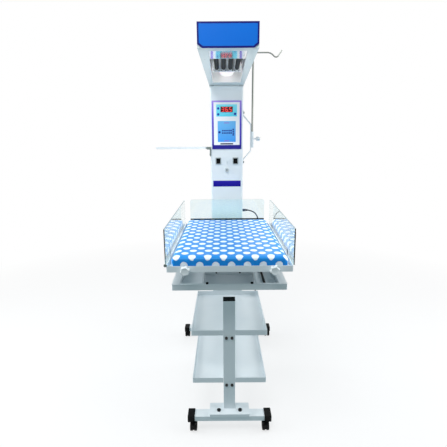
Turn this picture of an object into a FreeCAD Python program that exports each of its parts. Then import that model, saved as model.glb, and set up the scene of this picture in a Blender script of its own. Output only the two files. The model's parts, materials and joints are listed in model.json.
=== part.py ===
# Infant radiant warmer on a wheeled stand: heated head on a column, tilting bassinet, two shelves.
#
# X runs to the right as the nurse faces the bed, Y from the front to the back and Z up, in
# millimetres. The reference point is on the floor, in the middle of the stand's plan. The pieces
# are drawn from the middle of the mattress's front edge, and each Placement moves them back by
# origin_x and origin_y. Every size is in the sheet "Sizes" and the sub-parts are bound to it.

import FreeCAD, Part
import Sketcher
import math
import os
import re

SIZES = {
    "origin_x": (-46.4, "reference point, right of the bed's centreline"),
    "origin_y": (510, "reference point, behind the mattress's front edge"),
    # wheeled base
    "caster_height": (62, "floor to the underside of the crossbars"),
    "bar_height": (27, "crossbar and spine section, upright"),
    "bar_depth": (50, "crossbar section, front to back"),
    "bar_wall": (2, "wall of the crossbars and the spine"),
    "spine_width": (50, "spine section, across"),
    "front_bar_y": (165, "middle of the front crossbar"),
    "rear_bar_y": (1019, "middle of the rear crossbar"),
    "front_base_width": (432, "front crossbar over its end caps"),
    "rear_base_width": (652, "rear crossbar over its end caps"),
    "cap_wall": (3.5, "wall of a sleeve cap"),
    "cap_length": (36, "sleeve cap along the crossbar"),
    "front_caster_inset": (29, "front caster stem from the crossbar's end"),
    "rear_caster_inset": (18, "rear caster stem from the crossbar's end"),
    "front_caster_x": ("=front_base_width / 2 - front_caster_inset", "front caster stem from the centreline"),
    "rear_caster_x": ("=rear_base_width / 2 - rear_caster_inset", "rear caster stem from the centreline"),
    "caster_trail": (12, "wheel axle from the caster stem"),
    "wheel_radius": (25, "caster wheel"),
    "wheel_width": (13, "one wheel of a twin caster"),
    "web_width": (8, "caster housing between its two wheels"),
    "wheel_gap": (0.6, "housing to each wheel"),
    "stem_radius": (5, "caster stem"),
    "axle_radius": (3, "caster axle"),
    "running_gap": (0.05, "radial clearance of a turning fit"),
    "turning_gap": (0.5, "flat clearance between pieces that turn on each other"),
    # posts and shelves
    "saddle_width": (205, "foot saddle across"),
    "saddle_depth": (80, "foot saddle front to back"),
    "saddle_height": (15, "foot saddle above the crossbar"),
    "saddle_skirt": (4, "foot saddle down the crossbar's front"),
    "saddle_bolt_x": (55, "foot bolt from the centreline"),
    "foot_bolt_radius": (10, "foot bolt head"),
    "post_width": (59, "shelf post across"),
    "post_depth": (38, "shelf post front to back"),
    "post_wall": (2, "shelf post wall"),
    "post_front": (177, "front face of the front shelf post"),
    "post_top": (715, "top of the shelf posts"),
    "plug_height": (5, "plug above the post"),
    "plug_depth": (12, "plug inside the post"),
    "shelf_width": (376, "shelf across"),
    "shelf_depth": (457, "shelf front to back"),
    "shelf_lip": (28, "shelf's upturned edge"),
    "shelf_sheet": (1.5, "shelf sheet"),
    "upper_shelf_floor": (531, "underside of the upper shelf"),
    "lower_shelf_floor": (261.5, "underside of the lower shelf"),
    "shelf_notch_gap": (1, "shelf notch to the post, each side"),
    "arm_width": (40, "shelf arm across"),
    "arm_height": (28, "shelf arm upright"),
    "arm_wall": (2, "shelf arm wall"),
    "bolt_x": (14, "shelf bolt from the centreline"),
    "bolt_drop": (14, "shelf bolt below the shelf's underside"),
    "bolt_radius": (7.5, "shelf bolt head"),
    "bolt_head": (5, "height of a bolt head"),
    "shank_radius": (4, "bolt shank"),
    # column
    "column_front": (804.5, "front face of the column"),
    "column_width": (200, "column across"),
    "column_depth": (140, "column front to back"),
    "column_sheet": (1.5, "column sheet"),
    "column_flange": (18, "column's back flanges"),
    "column_round": (9, "column's front corners"),
    "column_foot_height": (12, "plate under the column"),
    "column_top": (1784, "top of the column's sheet"),
    "column_cap_height": (6, "plate on top of the column"),
    "display_width": (179, "display frame across"),
    "display_bottom": (1425, "bottom of the display frame"),
    "display_height": (283, "display frame upright"),
    "display_thickness": (5, "display frame"),
    "window_width": (125, "readout window across"),
    "window_height": (70, "readout window upright"),
    "window_bottom": (1617, "bottom of the readout window"),
    "keypad_width": (110, "keypad across"),
    "keypad_height": (123, "keypad upright"),
    "keypad_bottom": (1468, "bottom of the keypad"),
    "inset_thickness": (3, "readout window and keypad"),
    "switch_x": (53, "switch from the centreline"),
    "switch_bottom": (1333, "bottom of a switch frame"),
    "switch_width": (34, "switch frame across"),
    "switch_height": (41, "switch frame upright"),
    "switch_depth": (8, "switch frame proud of the column"),
    "switch_rim": (4, "rim round the rocker"),
    "rocker_throw": (16, "rocker's turn from off to on, in degrees"),
    "rocker_gap": (0.8, "rocker to its frame"),
    "probe_z": (1297, "height of the probe socket"),
    "probe_radius": (11, "probe socket"),
    "probe_depth": (14, "probe socket proud of the column"),
    "board_width": (150, "control board across"),
    "board_height": (220, "control board upright"),
    # head
    "head_front": (182, "front edge of the hood"),
    "head_width": (252.5, "hood across at the front"),
    "head_rear_width": (207, "hood across at the column"),
    "head_overhang": (8, "hood behind the column"),
    "head_top": (1928, "top of the hood"),
    "head_front_bottom": (1831, "bottom of the hood at the front"),
    "head_rear_bottom": (1796, "bottom of the hood at the column"),
    "head_sheet": (1.5, "hood sheet"),
    "fascia_thickness": (3, "front panel"),
    "fascia_chamfer_x": (21, "front panel's cut corner across"),
    "fascia_chamfer_z": (16, "front panel's cut corner upright"),
    "swivel_radius": (15, "pin that the head turns on"),
    "swivel_gap": (0.2, "head plate to the column's cap"),
    "swivel_plate_width": (150, "head plate across"),
    "reflector_width": (163, "reflector across"),
    "reflector_front": (215, "front of the reflector"),
    "reflector_length": (530, "reflector front to back"),
    "reflector_top": (1906, "roof of the reflector"),
    "reflector_sheet": (1.2, "reflector sheet"),
    "reflector_gap": (0.4, "reflector to the hood's opening"),
    "heater_pitch": (36, "heater tube to the next"),
    "heater_radius": (11, "heater tube"),
    "heater_end_radius": (4, "heater tube's end pin"),
    "heater_z": (1846, "heater tubes above the floor"),
    "heater_front_gap": (85, "heater tubes behind the reflector's front"),
    "heater_rear_gap": (145, "heater tubes before the reflector's rear"),
    "heater_front": ("=reflector_front + heater_front_gap", "front of the heater tubes"),
    "heater_length": ("=reflector_length - heater_front_gap - heater_rear_gap", "heater tube"),
    "holder_reach": (14, "heater holder's outer face from the tube's end"),
    "holder_sheet": (3, "heater holder"),
    "guard_radius": (1.6, "guard wire"),
    "lamp_radius": (40, "lamp dome"),
    "lamp_neck": (20, "neck between the lamp dome and the reflector's roof"),
    "guard_gap": (6, "guard wires below the heater tubes"),
    "lamp_rear_gap": (41, "lamp dome before the reflector's rear"),
    "lamp_depth": (86, "lamp dome below the reflector's roof"),
    # bed
    "mattress_width": (500, "mattress across"),
    "mattress_length": (750, "mattress front to back"),
    "mattress_top": (996, "top of the mattress"),
    "mattress_round": (10, "mattress edges"),
    "soft_gap": (0.3, "mattress to the tray"),
    "tray_bottom": (939, "underside of the bassinet tray"),
    "tray_height": (26.5, "bassinet tray"),
    "tray_sheet": (2, "bassinet tray sheet"),
    "tray_side_gap": (9, "mattress to the tray's side walls"),
    "tray_front_gap": (10, "mattress to the tray's front wall"),
    "tray_back_gap": (4, "mattress to the tray's back wall"),
    "panel_thickness": (4, "clear panel"),
    "panel_top": (1119, "top of the clear panels"),
    "panel_gap": (1, "clear panel to the tray's wall"),
    "panel_lift": (0.8, "clear panel above the tray's edge"),
    "panel_front": (-5, "front edge of the side panels"),
    "panel_back": (735, "back edge of the side panels"),
    "panel_flange": (19, "side panel's turned-in front edge"),
    "panel_corner": (14, "rounded corner of a clear panel"),
    "rear_panel_width": (464, "rear panel across"),
    "hinge_radius": (5, "panel hinge barrel"),
    "hinge_pin_radius": (2.5, "panel hinge pin"),
    "hinge_length": (22, "one knuckle of a panel hinge"),
    "hinge_drop": (7.5, "panel hinge below the tray's edge"),
    "hinge_front": (120, "front panel hinge"),
    "hinge_back": (600, "back panel hinge"),
    "clip_height": (30, "clip on the clear panel"),
    "clip_sheet": (2, "clip sheet"),
    "bed_knob_x": (183, "bed knob from the centreline"),
    "bed_knob_radius": (21, "bed knob"),
    "bed_knob_length": (24, "bed knob"),
    "frame_front": (39, "front face of the bed frame"),
    "frame_width": (500, "bed frame across"),
    "frame_length": (701, "bed frame front to back"),
    "frame_top": (863, "top of the bed frame"),
    "frame_height": (27.5, "bed frame"),
    "frame_sheet": (2, "bed frame sheet"),
    "frame_side_flange": (35, "bed frame's side flanges"),
    "frame_front_flange": (13, "bed frame's front flange"),
    "rib_x": (118.5, "bed frame's rib from the centreline"),
    "rib_width": (7, "bed frame's rib"),
    "recess_back": (210, "back wall of the middle recess"),
    "tilt_y": (370, "tilt pin behind the mattress's front edge"),
    "tilt_z": (901, "tilt pin above the floor"),
    "tilt_pin_radius": (6, "tilt pin"),
    "lug_x": (172, "outer lug from the centreline"),
    "lug_thickness": (6, "tilt lug"),
    "lug_radius": (18, "rounded end of a tilt lug"),
    "bracket_width": (160, "bed bracket's back plate"),
    "bracket_bottom": (690, "bottom of the bed bracket"),
    "bracket_plate": (8, "bed bracket's plates"),
    "bracket_reach": (300, "front end of the bed bracket's arms"),
    "bumper_x": (97, "bumper from the centreline"),
    "bumper_radius": (6, "bumper"),
    "guide_x": (158, "guide rod from the centreline"),
    "guide_radius": (5, "guide rod"),
    # monitor tray
    "monitor_width": (299, "monitor tray across"),
    "monitor_depth": (250, "monitor tray front to back"),
    "monitor_top": (1440, "top of the monitor tray"),
    "monitor_height": (12, "monitor tray's edge"),
    "monitor_sheet": (1.5, "monitor tray sheet"),
    "monitor_y": (866, "middle of the monitor tray"),
    "monitor_pin_out": (18, "fold pin from the column's side"),
    "monitor_pin_drop": (9, "fold pin below the tray's top"),
    "monitor_pin_radius": (4, "fold pin"),
    "monitor_knuckle": (8, "fold hinge barrel"),
    "monitor_ear": (10, "fold hinge ear, front to back"),
    "monitor_ear_y": (60, "fold hinge ear from the tray's middle"),
    "monitor_bracket_height": (58, "fold bracket below the tray's top"),
    # infusion pole
    "pole_x": (160, "pole from the centreline"),
    "pole_y": (850, "pole behind the mattress's front edge"),
    "pole_radius": (6, "pole"),
    "pole_bottom": (1440, "lower end of the pole"),
    "pole_top": (1982, "centreline of the hook arm"),
    "hook_radius": (4, "hook wire"),
    "hook_dip_x": (298, "lowest point of the hook"),
    "hook_dip": (34, "hook below its arm"),
    "hook_tip_x": (330, "tip of the hook"),
    "sleeve_radius": (9, "pole sleeve"),
    "sleeve_bottom": (1433, "lower end of the pole sleeve"),
    "sleeve_height": (97, "pole sleeve"),
    "weld_depth": (1, "pole sleeve let into its strap"),
    "strap_sheet": (4, "pole bracket strap"),
    "strap_width": (30, "pole bracket strap, front to back"),
    "strap_top": (1655, "top of the pole bracket"),
    "strap_bottom": (1332, "bottom of the pole bracket"),
    "strap_foot": (24, "pole bracket's foot on the column"),
    "strap_slant": (56, "height of the pole bracket's slanted ends"),
    "pole_knob_z": (1487, "pole knob above the floor"),
    "pole_knob_radius": (14, "pole knob"),
    "pole_knob_length": (26, "pole knob"),
    "pole_knob_stem": (14, "stem between the sleeve and the knob"),
    "pole_knob_tip_gap": (4.0, "knob's screw to the pole while it is slack"),
    # mains lead
    "gland_z": (1027, "cable gland above the floor"),
    "gland_y": (880, "cable gland behind the mattress's front edge"),
    "gland_length": (38, "cable gland"),
    "gland_radius": (9, "cable gland at the column"),
    "cord_radius": (4, "mains lead"),
    "coil_radius": (58, "outside of the coiled lead"),
    "coil_hole": (34, "inside of the coiled lead"),
    "coil_height": (16, "coiled lead"),
    "coil_x": (170, "middle of the coil"),
    "coil_y": (846, "middle of the coil"),
}

# Where a free mains lead runs, from the gland to the coil on the floor: chosen points.
CORD_ROUTE = [
    (138, 880, 1027),
    (172, 881, 1021),
    (202, 885, 990),
    (216, 891, 936),
    (221, 899, 868),
    (217, 910, 788),
    (207, 922, 700),
    (200, 932, 604),
    (199, 938, 502),
    (205, 937, 400),
    (213, 930, 302),
    (218, 919, 212),
    (220, 905, 136),
    (220, 886, 76),
    (218, 862, 32),
    (216, 846, 12),
]

# From the coil to the plug, on the floor.
TAIL_ROUTE = [
    (166, 800, 4),
    (120, 805, 4),
    (76, 818, 4),
    (34, 836, 4),
    (-6, 848, 4),
    (-48, 852, 4),
]

CASTERS = [
    ("front_left", -1, "front_caster_x", "front_bar_y", -1),
    ("front_right", 1, "front_caster_x", "front_bar_y", -1),
    ("rear_left", -1, "rear_caster_x", "rear_bar_y", 1),
    ("rear_right", 1, "rear_caster_x", "rear_bar_y", 1),
]
SIDES = {"left": -1, "right": 1}

doc = FreeCAD.newDocument("InfantRadiantWarmer")
sheet = doc.addObject("Spreadsheet::Sheet", "Sizes")
nodes = []


def fill_sheet():
    """Write each size into a row of the sheet: what it is, its value and its alias."""
    for row, (name, (value, meaning)) in enumerate(SIZES.items(), start=1):
        sheet.set(f"A{row}", meaning)
        sheet.set(f"B{row}", str(value))
        sheet.setAlias(f"B{row}", name)
    doc.recompute()


def bound(text):
    """A formula in size names, with each name as a reference to its cell."""
    def reference(word):
        return f"Sizes.{word.group()}" if word.group() in SIZES else word.group()
    return re.sub(r"[a-z][a-z_0-9]*", reference, text)


def amount(text):
    """The value of a formula in size names."""
    return float(sheet.evalExpression(bound(text)))


def bind(piece, **formulas):
    for name, text in formulas.items():
        piece.setExpression(name, bound(text))


def at(piece, x="0", y="0", z="0"):
    """Place a piece that is inside another, from the mattress's front edge."""
    piece.setExpression("Placement.Base.x", bound(x))
    piece.setExpression("Placement.Base.y", bound(y))
    piece.setExpression("Placement.Base.z", bound(z))
    return piece


def node(piece, label, x="0", y="0", z="0"):
    """Place a finished sub-part and list it under its label."""
    at(piece, f"({x}) - origin_x", f"({y}) - origin_y", z)
    piece.Label = label
    nodes.append(piece)
    return piece


def body(name):
    new = doc.addObject("PartDesign::Body", name)
    new.AllowCompound = True
    return new


def sketch(part, role, outlines, offset="0"):
    """A sketch on one of a body's own planes. An outline is a list of corners or (x, y, radius)."""
    new = part.newObject("Sketcher::SketchObject", f"{part.Name}_sketch")
    plane = next(face for face in part.Origin.OriginFeatures if face.Role == role)
    new.AttachmentSupport = [(plane, "")]
    new.MapMode = "FlatFace"
    new.setExpression("AttachmentOffset.Base.z", bound(offset))
    for outline in outlines:
        if isinstance(outline, tuple):
            add_circle(new, *outline)
        else:
            add_polygon(new, outline)
    return new


def add_circle(new, x, y, radius):
    centre = FreeCAD.Vector(amount(x), amount(y), 0)
    edge = new.addGeometry(Part.Circle(centre, FreeCAD.Vector(0, 0, 1), amount(radius)), False)
    pin_point(new, edge, 3, x, y)
    size = new.addConstraint(Sketcher.Constraint("Radius", edge, amount(radius)))
    new.setExpression(f"Constraints[{size}]", bound(radius))


def add_polygon(new, corners):
    points = [FreeCAD.Vector(amount(x), amount(y), 0) for x, y in corners]
    count = len(points)
    edges = []
    for index, point in enumerate(points):
        line = Part.LineSegment(point, points[(index + 1) % count])
        edges.append(new.addGeometry(line, False))
    for index, edge in enumerate(edges):
        following = edges[(index + 1) % count]
        new.addConstraint(Sketcher.Constraint("Coincident", edge, 2, following, 1))
    for edge, (x, y) in zip(edges, corners):
        pin_point(new, edge, 1, x, y)


def pin_point(new, edge, end, x, y):
    """Hold one point of a sketch at its formulas, measured from the sketch's origin."""
    for kind, text in (("DistanceX", x), ("DistanceY", y)):
        size = new.addConstraint(Sketcher.Constraint(kind, -1, 1, edge, end, amount(text)))
        new.setExpression(f"Constraints[{size}]", bound(text))


def rectangle(x0, y0, x1, y1):
    return [(x0, y0), (x1, y0), (x1, y1), (x0, y1)]


def pad(part, profile, length, back=False, both=False):
    new = part.newObject("PartDesign::Pad", f"{part.Name}_pad")
    new.Profile = profile
    new.Reversed = back
    if both:
        new.SideType = "Symmetric"
    bind(new, Length=length)
    return new


def pocket(part, profile, length, back=False, both=False):
    new = part.newObject("PartDesign::Pocket", f"{part.Name}_pocket")
    new.Profile = profile
    new.Reversed = back
    if both:
        new.SideType = "Symmetric"
    bind(new, Length=length)
    doc.recompute()
    if new.Shape.Volume >= new.BaseFeature.Shape.Volume - 1:
        raise ValueError(f"{new.Name} removes nothing")
    return new


def revolve(part, profile):
    """Turn a profile about its sketch's upright axis."""
    new = part.newObject("PartDesign::Revolution", f"{part.Name}_revolution")
    new.Profile = profile
    new.ReferenceAxis = (profile, ["V_Axis"])
    new.Angle = 360
    return new


def round_edges(part, feature, radius, wanted):
    """Fillet the edges of a feature that the test picks."""
    doc.recompute()
    edges = enumerate(feature.Shape.Edges, start=1)
    names = [f"Edge{index}" for index, edge in edges if wanted(edge)]
    new = part.newObject("PartDesign::Fillet", f"{part.Name}_fillet")
    new.Base = (feature, names)
    bind(new, Radius=radius)
    return new


def runs_along(edge, axis):
    """True for a straight edge along one axis: 0, 1 or 2."""
    if not isinstance(edge.Curve, Part.Line):
        return False
    direction = edge.Curve.Direction
    return abs(abs(direction[axis]) - 1) < 1e-6


def upright_at(edge, x, y):
    """True for an upright edge at plus or minus x and at y."""
    middle = edge.BoundBox.Center
    return (runs_along(edge, 2) and abs(abs(middle.x) - amount(x)) < 0.01
            and abs(middle.y - amount(y)) < 0.01)


def box(name, length, width, height, x="0", y="0", z="0"):
    new = doc.addObject("Part::Box", name)
    bind(new, Length=length, Width=width, Height=height)
    return at(new, x, y, z)


def rod(name, radius, length, x="0", y="0", z="0", along="Z"):
    """A cylinder that starts at its point and runs along +X, +Y or +Z."""
    turns = {
        "X": FreeCAD.Rotation(FreeCAD.Vector(0, 1, 0), 90),
        "Y": FreeCAD.Rotation(FreeCAD.Vector(1, 0, 0), -90),
        "Z": FreeCAD.Rotation(),
    }
    new = doc.addObject("Part::Cylinder", name)
    new.Placement = FreeCAD.Placement(FreeCAD.Vector(), turns[along])
    bind(new, Radius=radius, Height=length)
    return at(new, x, y, z)


def fuse(name, pieces):
    new = doc.addObject("Part::MultiFuse", name)
    new.Shapes = pieces
    return new


def cut(name, base, tool):
    new = doc.addObject("Part::Cut", name)
    new.Base = base
    new.Tool = tool
    return new


def group(name, pieces):
    """Several solids of one kind in one sub-part."""
    new = doc.addObject("Part::Compound", name)
    new.Links = pieces
    return new


def bent_wire(points, share):
    """Straight runs joined by tangent arcs, each as large as its share of the shorter run allows."""
    vectors = [FreeCAD.Vector(*point) for point in points]
    edges = []
    radii = []
    start = vectors[0]
    for before, corner, after in zip(vectors, vectors[1:], vectors[2:]):
        run_in = (corner - before).normalize()
        run_out = (after - corner).normalize()
        turn = run_in.getAngle(run_out)
        reach = share * min((corner - before).Length, (after - corner).Length)
        radius = reach / math.tan(turn / 2)
        first = corner - run_in * reach
        last = corner + run_out * reach
        inward = (run_out - run_in).normalize()
        middle = corner + inward * (radius / math.cos(turn / 2) - radius)
        edges.append(Part.LineSegment(start, first).toShape())
        edges.append(Part.Arc(first, middle, last).toShape())
        radii.append(radius)
        start = last
    edges.append(Part.LineSegment(start, vectors[-1]).toShape())
    return Part.Wire(edges), radii


def swept_tube(points, radius, share=0.45):
    """A round bar along a bent wire, with its volume compared with section times length."""
    path, radii = bent_wire(points, share)
    heading = FreeCAD.Vector(*points[1]) - FreeCAD.Vector(*points[0])
    ring = Part.Wire(Part.Circle(FreeCAD.Vector(*points[0]), heading, radius).toShape())
    tube = path.makePipeShell([ring], True, False)
    expected = math.pi * radius**2 * path.Length
    if abs(tube.Volume / expected - 1) > 0.01:
        raise ValueError("a swept tube lost volume")
    print(f"bent bar: length {path.Length:.0f}, radii {min(radii):.0f} to {max(radii):.0f}")
    return tube


def crossbar(label, width, middle):
    """A closed-end rectangular tube, with a hole under each end for a caster stem."""
    bar = body(label)
    half = f"({width}) / 2 - cap_wall"
    outside = rectangle("-bar_depth / 2", "0", "bar_depth / 2", "bar_height")
    inside = rectangle("-bar_depth / 2 + bar_wall", "bar_wall",
                       "bar_depth / 2 - bar_wall", "bar_height - bar_wall")
    pad(bar, sketch(bar, "YZ_Plane", [outside, inside]), f"2 * ({half})", both=True)
    caster_x = "front_caster_x" if middle == "front_bar_y" else "rear_caster_x"
    holes = [(f"{side} * {caster_x}", "0", "stem_radius + running_gap") for side in (-1, 1)]
    pocket(bar, sketch(bar, "XY_Plane", holes), "bar_wall", back=True)
    node(bar, label, y=middle, z="caster_height")


def base_spine():
    spine = body("base_spine")
    half = "spine_width / 2"
    outside = rectangle(f"-{half}", "0", half, "bar_height")
    inside = rectangle(f"-{half} + bar_wall", "bar_wall", f"{half} - bar_wall", "bar_height - bar_wall")
    length = "rear_bar_y - front_bar_y - bar_depth"
    pad(spine, sketch(spine, "XZ_Plane", [outside, inside]), length, back=True)
    node(spine, "base_spine", y="front_bar_y + bar_depth / 2", z="caster_height")


def end_cap(name, side, width, caster_x, middle):
    """A moulded sleeve over one end of a crossbar, with a hole for the caster stem."""
    cap = body(name)
    outer = "bar_depth / 2 + cap_wall"
    end = f"{side} * ({width}) / 2"
    inner_end = f"{side} * (({width}) / 2 - cap_length)"
    shell = rectangle(inner_end, f"-({outer})", end, outer)
    block = pad(cap, sketch(cap, "XY_Plane", [shell]), "bar_height + 2 * cap_wall")
    far = amount(end)
    round_edges(cap, block, "3", lambda edge: abs(edge.BoundBox.XMin - far) < 0.01
                and abs(edge.BoundBox.XMax - far) < 0.01)
    seat = rectangle("-bar_depth / 2", "cap_wall", "bar_depth / 2", "bar_height + cap_wall")
    depth = "cap_length - cap_wall"
    pocket(cap, sketch(cap, "YZ_Plane", [seat], inner_end), depth, back=side > 0)
    hole = (f"{side} * {caster_x}", "0", "stem_radius + running_gap")
    pocket(cap, sketch(cap, "XY_Plane", [hole]), "cap_wall", back=True)
    return at(cap, y=middle, z="caster_height - cap_wall")


def post_plug(name, y):
    """A moulded plug: a rim on the post's top and a stub inside it."""
    half = "post_width / 2"
    rim = box(f"{name}_rim", "post_width", "post_depth", "plug_height",
              f"-{half}", y, "post_top")
    stub = box(f"{name}_stub", "post_width - 2 * post_wall", "post_depth - 2 * post_wall",
               "plug_depth", f"-{half} + post_wall", f"{y} + post_wall", "post_top - plug_depth")
    return fuse(name, [rim, stub])


def end_caps():
    pieces = [
        end_cap("cap_front_left", -1, "front_base_width", "front_caster_x", "front_bar_y"),
        end_cap("cap_front_right", 1, "front_base_width", "front_caster_x", "front_bar_y"),
        end_cap("cap_rear_left", -1, "rear_base_width", "rear_caster_x", "rear_bar_y"),
        end_cap("cap_rear_right", 1, "rear_base_width", "rear_caster_x", "rear_bar_y"),
        post_plug("plug_front", "post_front"),
        post_plug("plug_rear", "post_front + shelf_depth"),
    ]
    node(group("end_caps", pieces), "end_caps")


def caster(name, side, caster_x, bar_y, trail):
    """A twin-wheel caster: a housing that turns on its stem and two wheels on one axle."""
    label = f"{name}_caster_frame"
    frame = body(label)
    axle_y = f"{trail} * caster_trail"
    cover = "wheel_radius + 3"
    web = (axle_y, "wheel_radius", "wheel_radius - 3")
    pad(frame, sketch(frame, "YZ_Plane", [web]), "web_width", both=True)
    crown_top = "caster_height - cap_wall - turning_gap"
    crown = sketch(frame, "XY_Plane", [("0", "0", "16")], f"{cover} + wheel_radius")
    pad(frame, crown, f"{crown_top} - ({cover}) - wheel_radius")
    neck = rectangle("-10", "wheel_radius + 10", "10", f"{cover} + wheel_radius")
    pad(frame, sketch(frame, "YZ_Plane", [neck]), "web_width", both=True)
    stem = sketch(frame, "XY_Plane", [("0", "0", "stem_radius")], crown_top)
    pad(frame, stem, "turning_gap + cap_wall + bar_height - bar_wall - 1")
    bore = sketch(frame, "YZ_Plane", [(axle_y, "wheel_radius", "axle_radius + running_gap")])
    pocket(frame, bore, "web_width + 2", both=True)
    node(frame, label, f"{side} * {caster_x}", bar_y)

    label = f"{name}_caster_wheels"
    wheels = body(label)
    inner = "web_width / 2 + wheel_gap"
    outer = f"{inner} + wheel_width"
    for hand in (-1, 1):
        tread = sketch(wheels, "YZ_Plane", [("0", "0", "wheel_radius")], f"{hand} * ({inner})")
        pad(wheels, tread, "wheel_width", back=hand < 0)
    axle = sketch(wheels, "YZ_Plane", [("0", "0", "axle_radius")])
    disc = pad(wheels, axle, f"2 * ({inner})", both=True)
    round_edges(wheels, disc, "3", lambda edge: isinstance(edge.Curve, Part.Circle)
                and abs(abs(edge.BoundBox.Center.x) - amount(outer)) < 0.01)
    dish = sketch(wheels, "YZ_Plane", [("0", "0", "wheel_radius - 8")], outer)
    pocket(wheels, dish, "3")
    dish = sketch(wheels, "YZ_Plane", [("0", "0", "wheel_radius - 8")], f"-({outer})")
    pocket(wheels, dish, "3", back=True)
    node(wheels, label, f"{side} * {caster_x}", f"{bar_y} + {trail} * caster_trail", "wheel_radius")


def shelf_posts():
    """Two square-tube posts: the front one on the saddle, the rear one on the spine."""
    pieces = []
    half = "post_width / 2"
    bases = {"front": ("post_front", "caster_height + bar_height + saddle_height"),
             "rear": ("post_front + shelf_depth", "caster_height + bar_height")}
    for name, (front, bottom) in bases.items():
        post = body(f"post_{name}")
        outside = rectangle(f"-{half}", "0", half, "post_depth")
        inside = rectangle(f"-{half} + post_wall", "post_wall",
                           f"{half} - post_wall", "post_depth - post_wall")
        pad(post, sketch(post, "XY_Plane", [outside, inside]), f"post_top - ({bottom})")
        holes = [(f"{side} * bolt_x", f"{floor} - bolt_drop - ({bottom})", "shank_radius")
                 for side in (-1, 1) for floor in ("upper_shelf_floor", "lower_shelf_floor")]
        pocket(post, sketch(post, "XZ_Plane", holes), "post_depth + 2", back=False)
        pieces.append(at(post, y=front, z=bottom))
    node(group("shelf_posts", pieces), "shelf_posts")


def front_post_foot():
    """Channel saddle over the front crossbar and the spine."""
    foot = body("front_post_foot")
    top = "saddle_height + saddle_skirt"
    half = "saddle_width / 2"
    outline = rectangle(f"-{half}", "0", half, "saddle_depth")
    block = pad(foot, sketch(foot, "XY_Plane", [outline]), top)
    round_edges(foot, block, "4", lambda edge: runs_along(edge, 2))
    front = "bar_depth / 2"
    seat = [("3", "0"), ("saddle_depth + 1", "0"), ("saddle_depth + 1", "saddle_skirt"),
            ("3", "saddle_skirt")]
    pocket(foot, sketch(foot, "YZ_Plane", [seat]), "saddle_width + 2", both=True)
    holes = [(f"{side} * saddle_bolt_x", f"{front} + 3", "shank_radius") for side in (-1, 1)]
    pocket(foot, sketch(foot, "XY_Plane", [*holes], top), f"{top} + 1")
    node(foot, "front_post_foot", y=f"front_bar_y - {front} - 3",
         z="caster_height + bar_height - saddle_skirt")


def frame_bolts():
    """Round-headed bolts of the foot saddle and of the shelf arms."""
    pieces = []
    saddle_top = "caster_height + bar_height + saddle_height"
    for name, side in SIDES.items():
        head = rod(f"foot_head_{name}", "foot_bolt_radius", "bolt_head",
                   f"{side} * saddle_bolt_x", "front_bar_y", saddle_top)
        shank = rod(f"foot_shank_{name}", "shank_radius", "saddle_height",
                    f"{side} * saddle_bolt_x", "front_bar_y", f"{saddle_top} - saddle_height")
        pieces.append(fuse(f"foot_bolt_{name}", [head, shank]))
        for level in ("upper", "lower"):
            z = f"{level}_shelf_floor - bolt_drop"
            head = rod(f"head_{level}_{name}", "bolt_radius", "bolt_head",
                       f"{side} * bolt_x", "post_front - bolt_head", z, "Y")
            shank = rod(f"shank_{level}_{name}", "shank_radius", "post_depth + 10",
                        f"{side} * bolt_x", "post_front", z, "Y")
            pieces.append(fuse(f"bolt_{level}_{name}", [head, shank]))
    node(group("frame_bolts", pieces), "frame_bolts")


def shelf(label, floor):
    """Sheet tray with upturned edges, notched at the front for the post."""
    tray = body(label)
    half = "shelf_width / 2"
    block = pad(tray, sketch(tray, "XY_Plane", [rectangle(f"-{half}", "0", half, "shelf_depth")]),
                "shelf_lip")
    round_edges(tray, block, "4", lambda edge: runs_along(edge, 2))
    inside = rectangle(f"-{half} + shelf_sheet", "shelf_sheet",
                       f"{half} - shelf_sheet", "shelf_depth - shelf_sheet")
    pocket(tray, sketch(tray, "XY_Plane", [inside], "shelf_lip"), "shelf_lip - shelf_sheet")
    notch = "post_width / 2 + shelf_notch_gap"
    opening = rectangle(f"-({notch})", "-1", notch, "post_depth + shelf_notch_gap")
    pocket(tray, sketch(tray, "XY_Plane", [opening], "shelf_lip"), "shelf_lip")
    node(tray, label, y="post_front", z=floor)


def shelf_arms():
    """Channels that carry the shelves from post to post."""
    pieces = []
    half = "arm_width / 2"
    length = "shelf_depth - post_depth"
    for level in ("upper", "lower"):
        arm = body(f"arm_{level}")
        outline = [(f"-{half}", "0"), (f"-{half}", "arm_height"), (half, "arm_height"), (half, "0"),
                   (f"{half} - arm_wall", "0"), (f"{half} - arm_wall", "arm_height - arm_wall"),
                   (f"-{half} + arm_wall", "arm_height - arm_wall"), (f"-{half} + arm_wall", "0")]
        pad(arm, sketch(arm, "XZ_Plane", [outline]), length, back=True)
        pieces.append(at(arm, y="post_front + post_depth", z=f"{level}_shelf_floor - arm_height"))
    node(group("shelf_arms", pieces), "shelf_arms")


COLUMN_BOTTOM = "(caster_height + bar_height + column_foot_height)"


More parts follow.
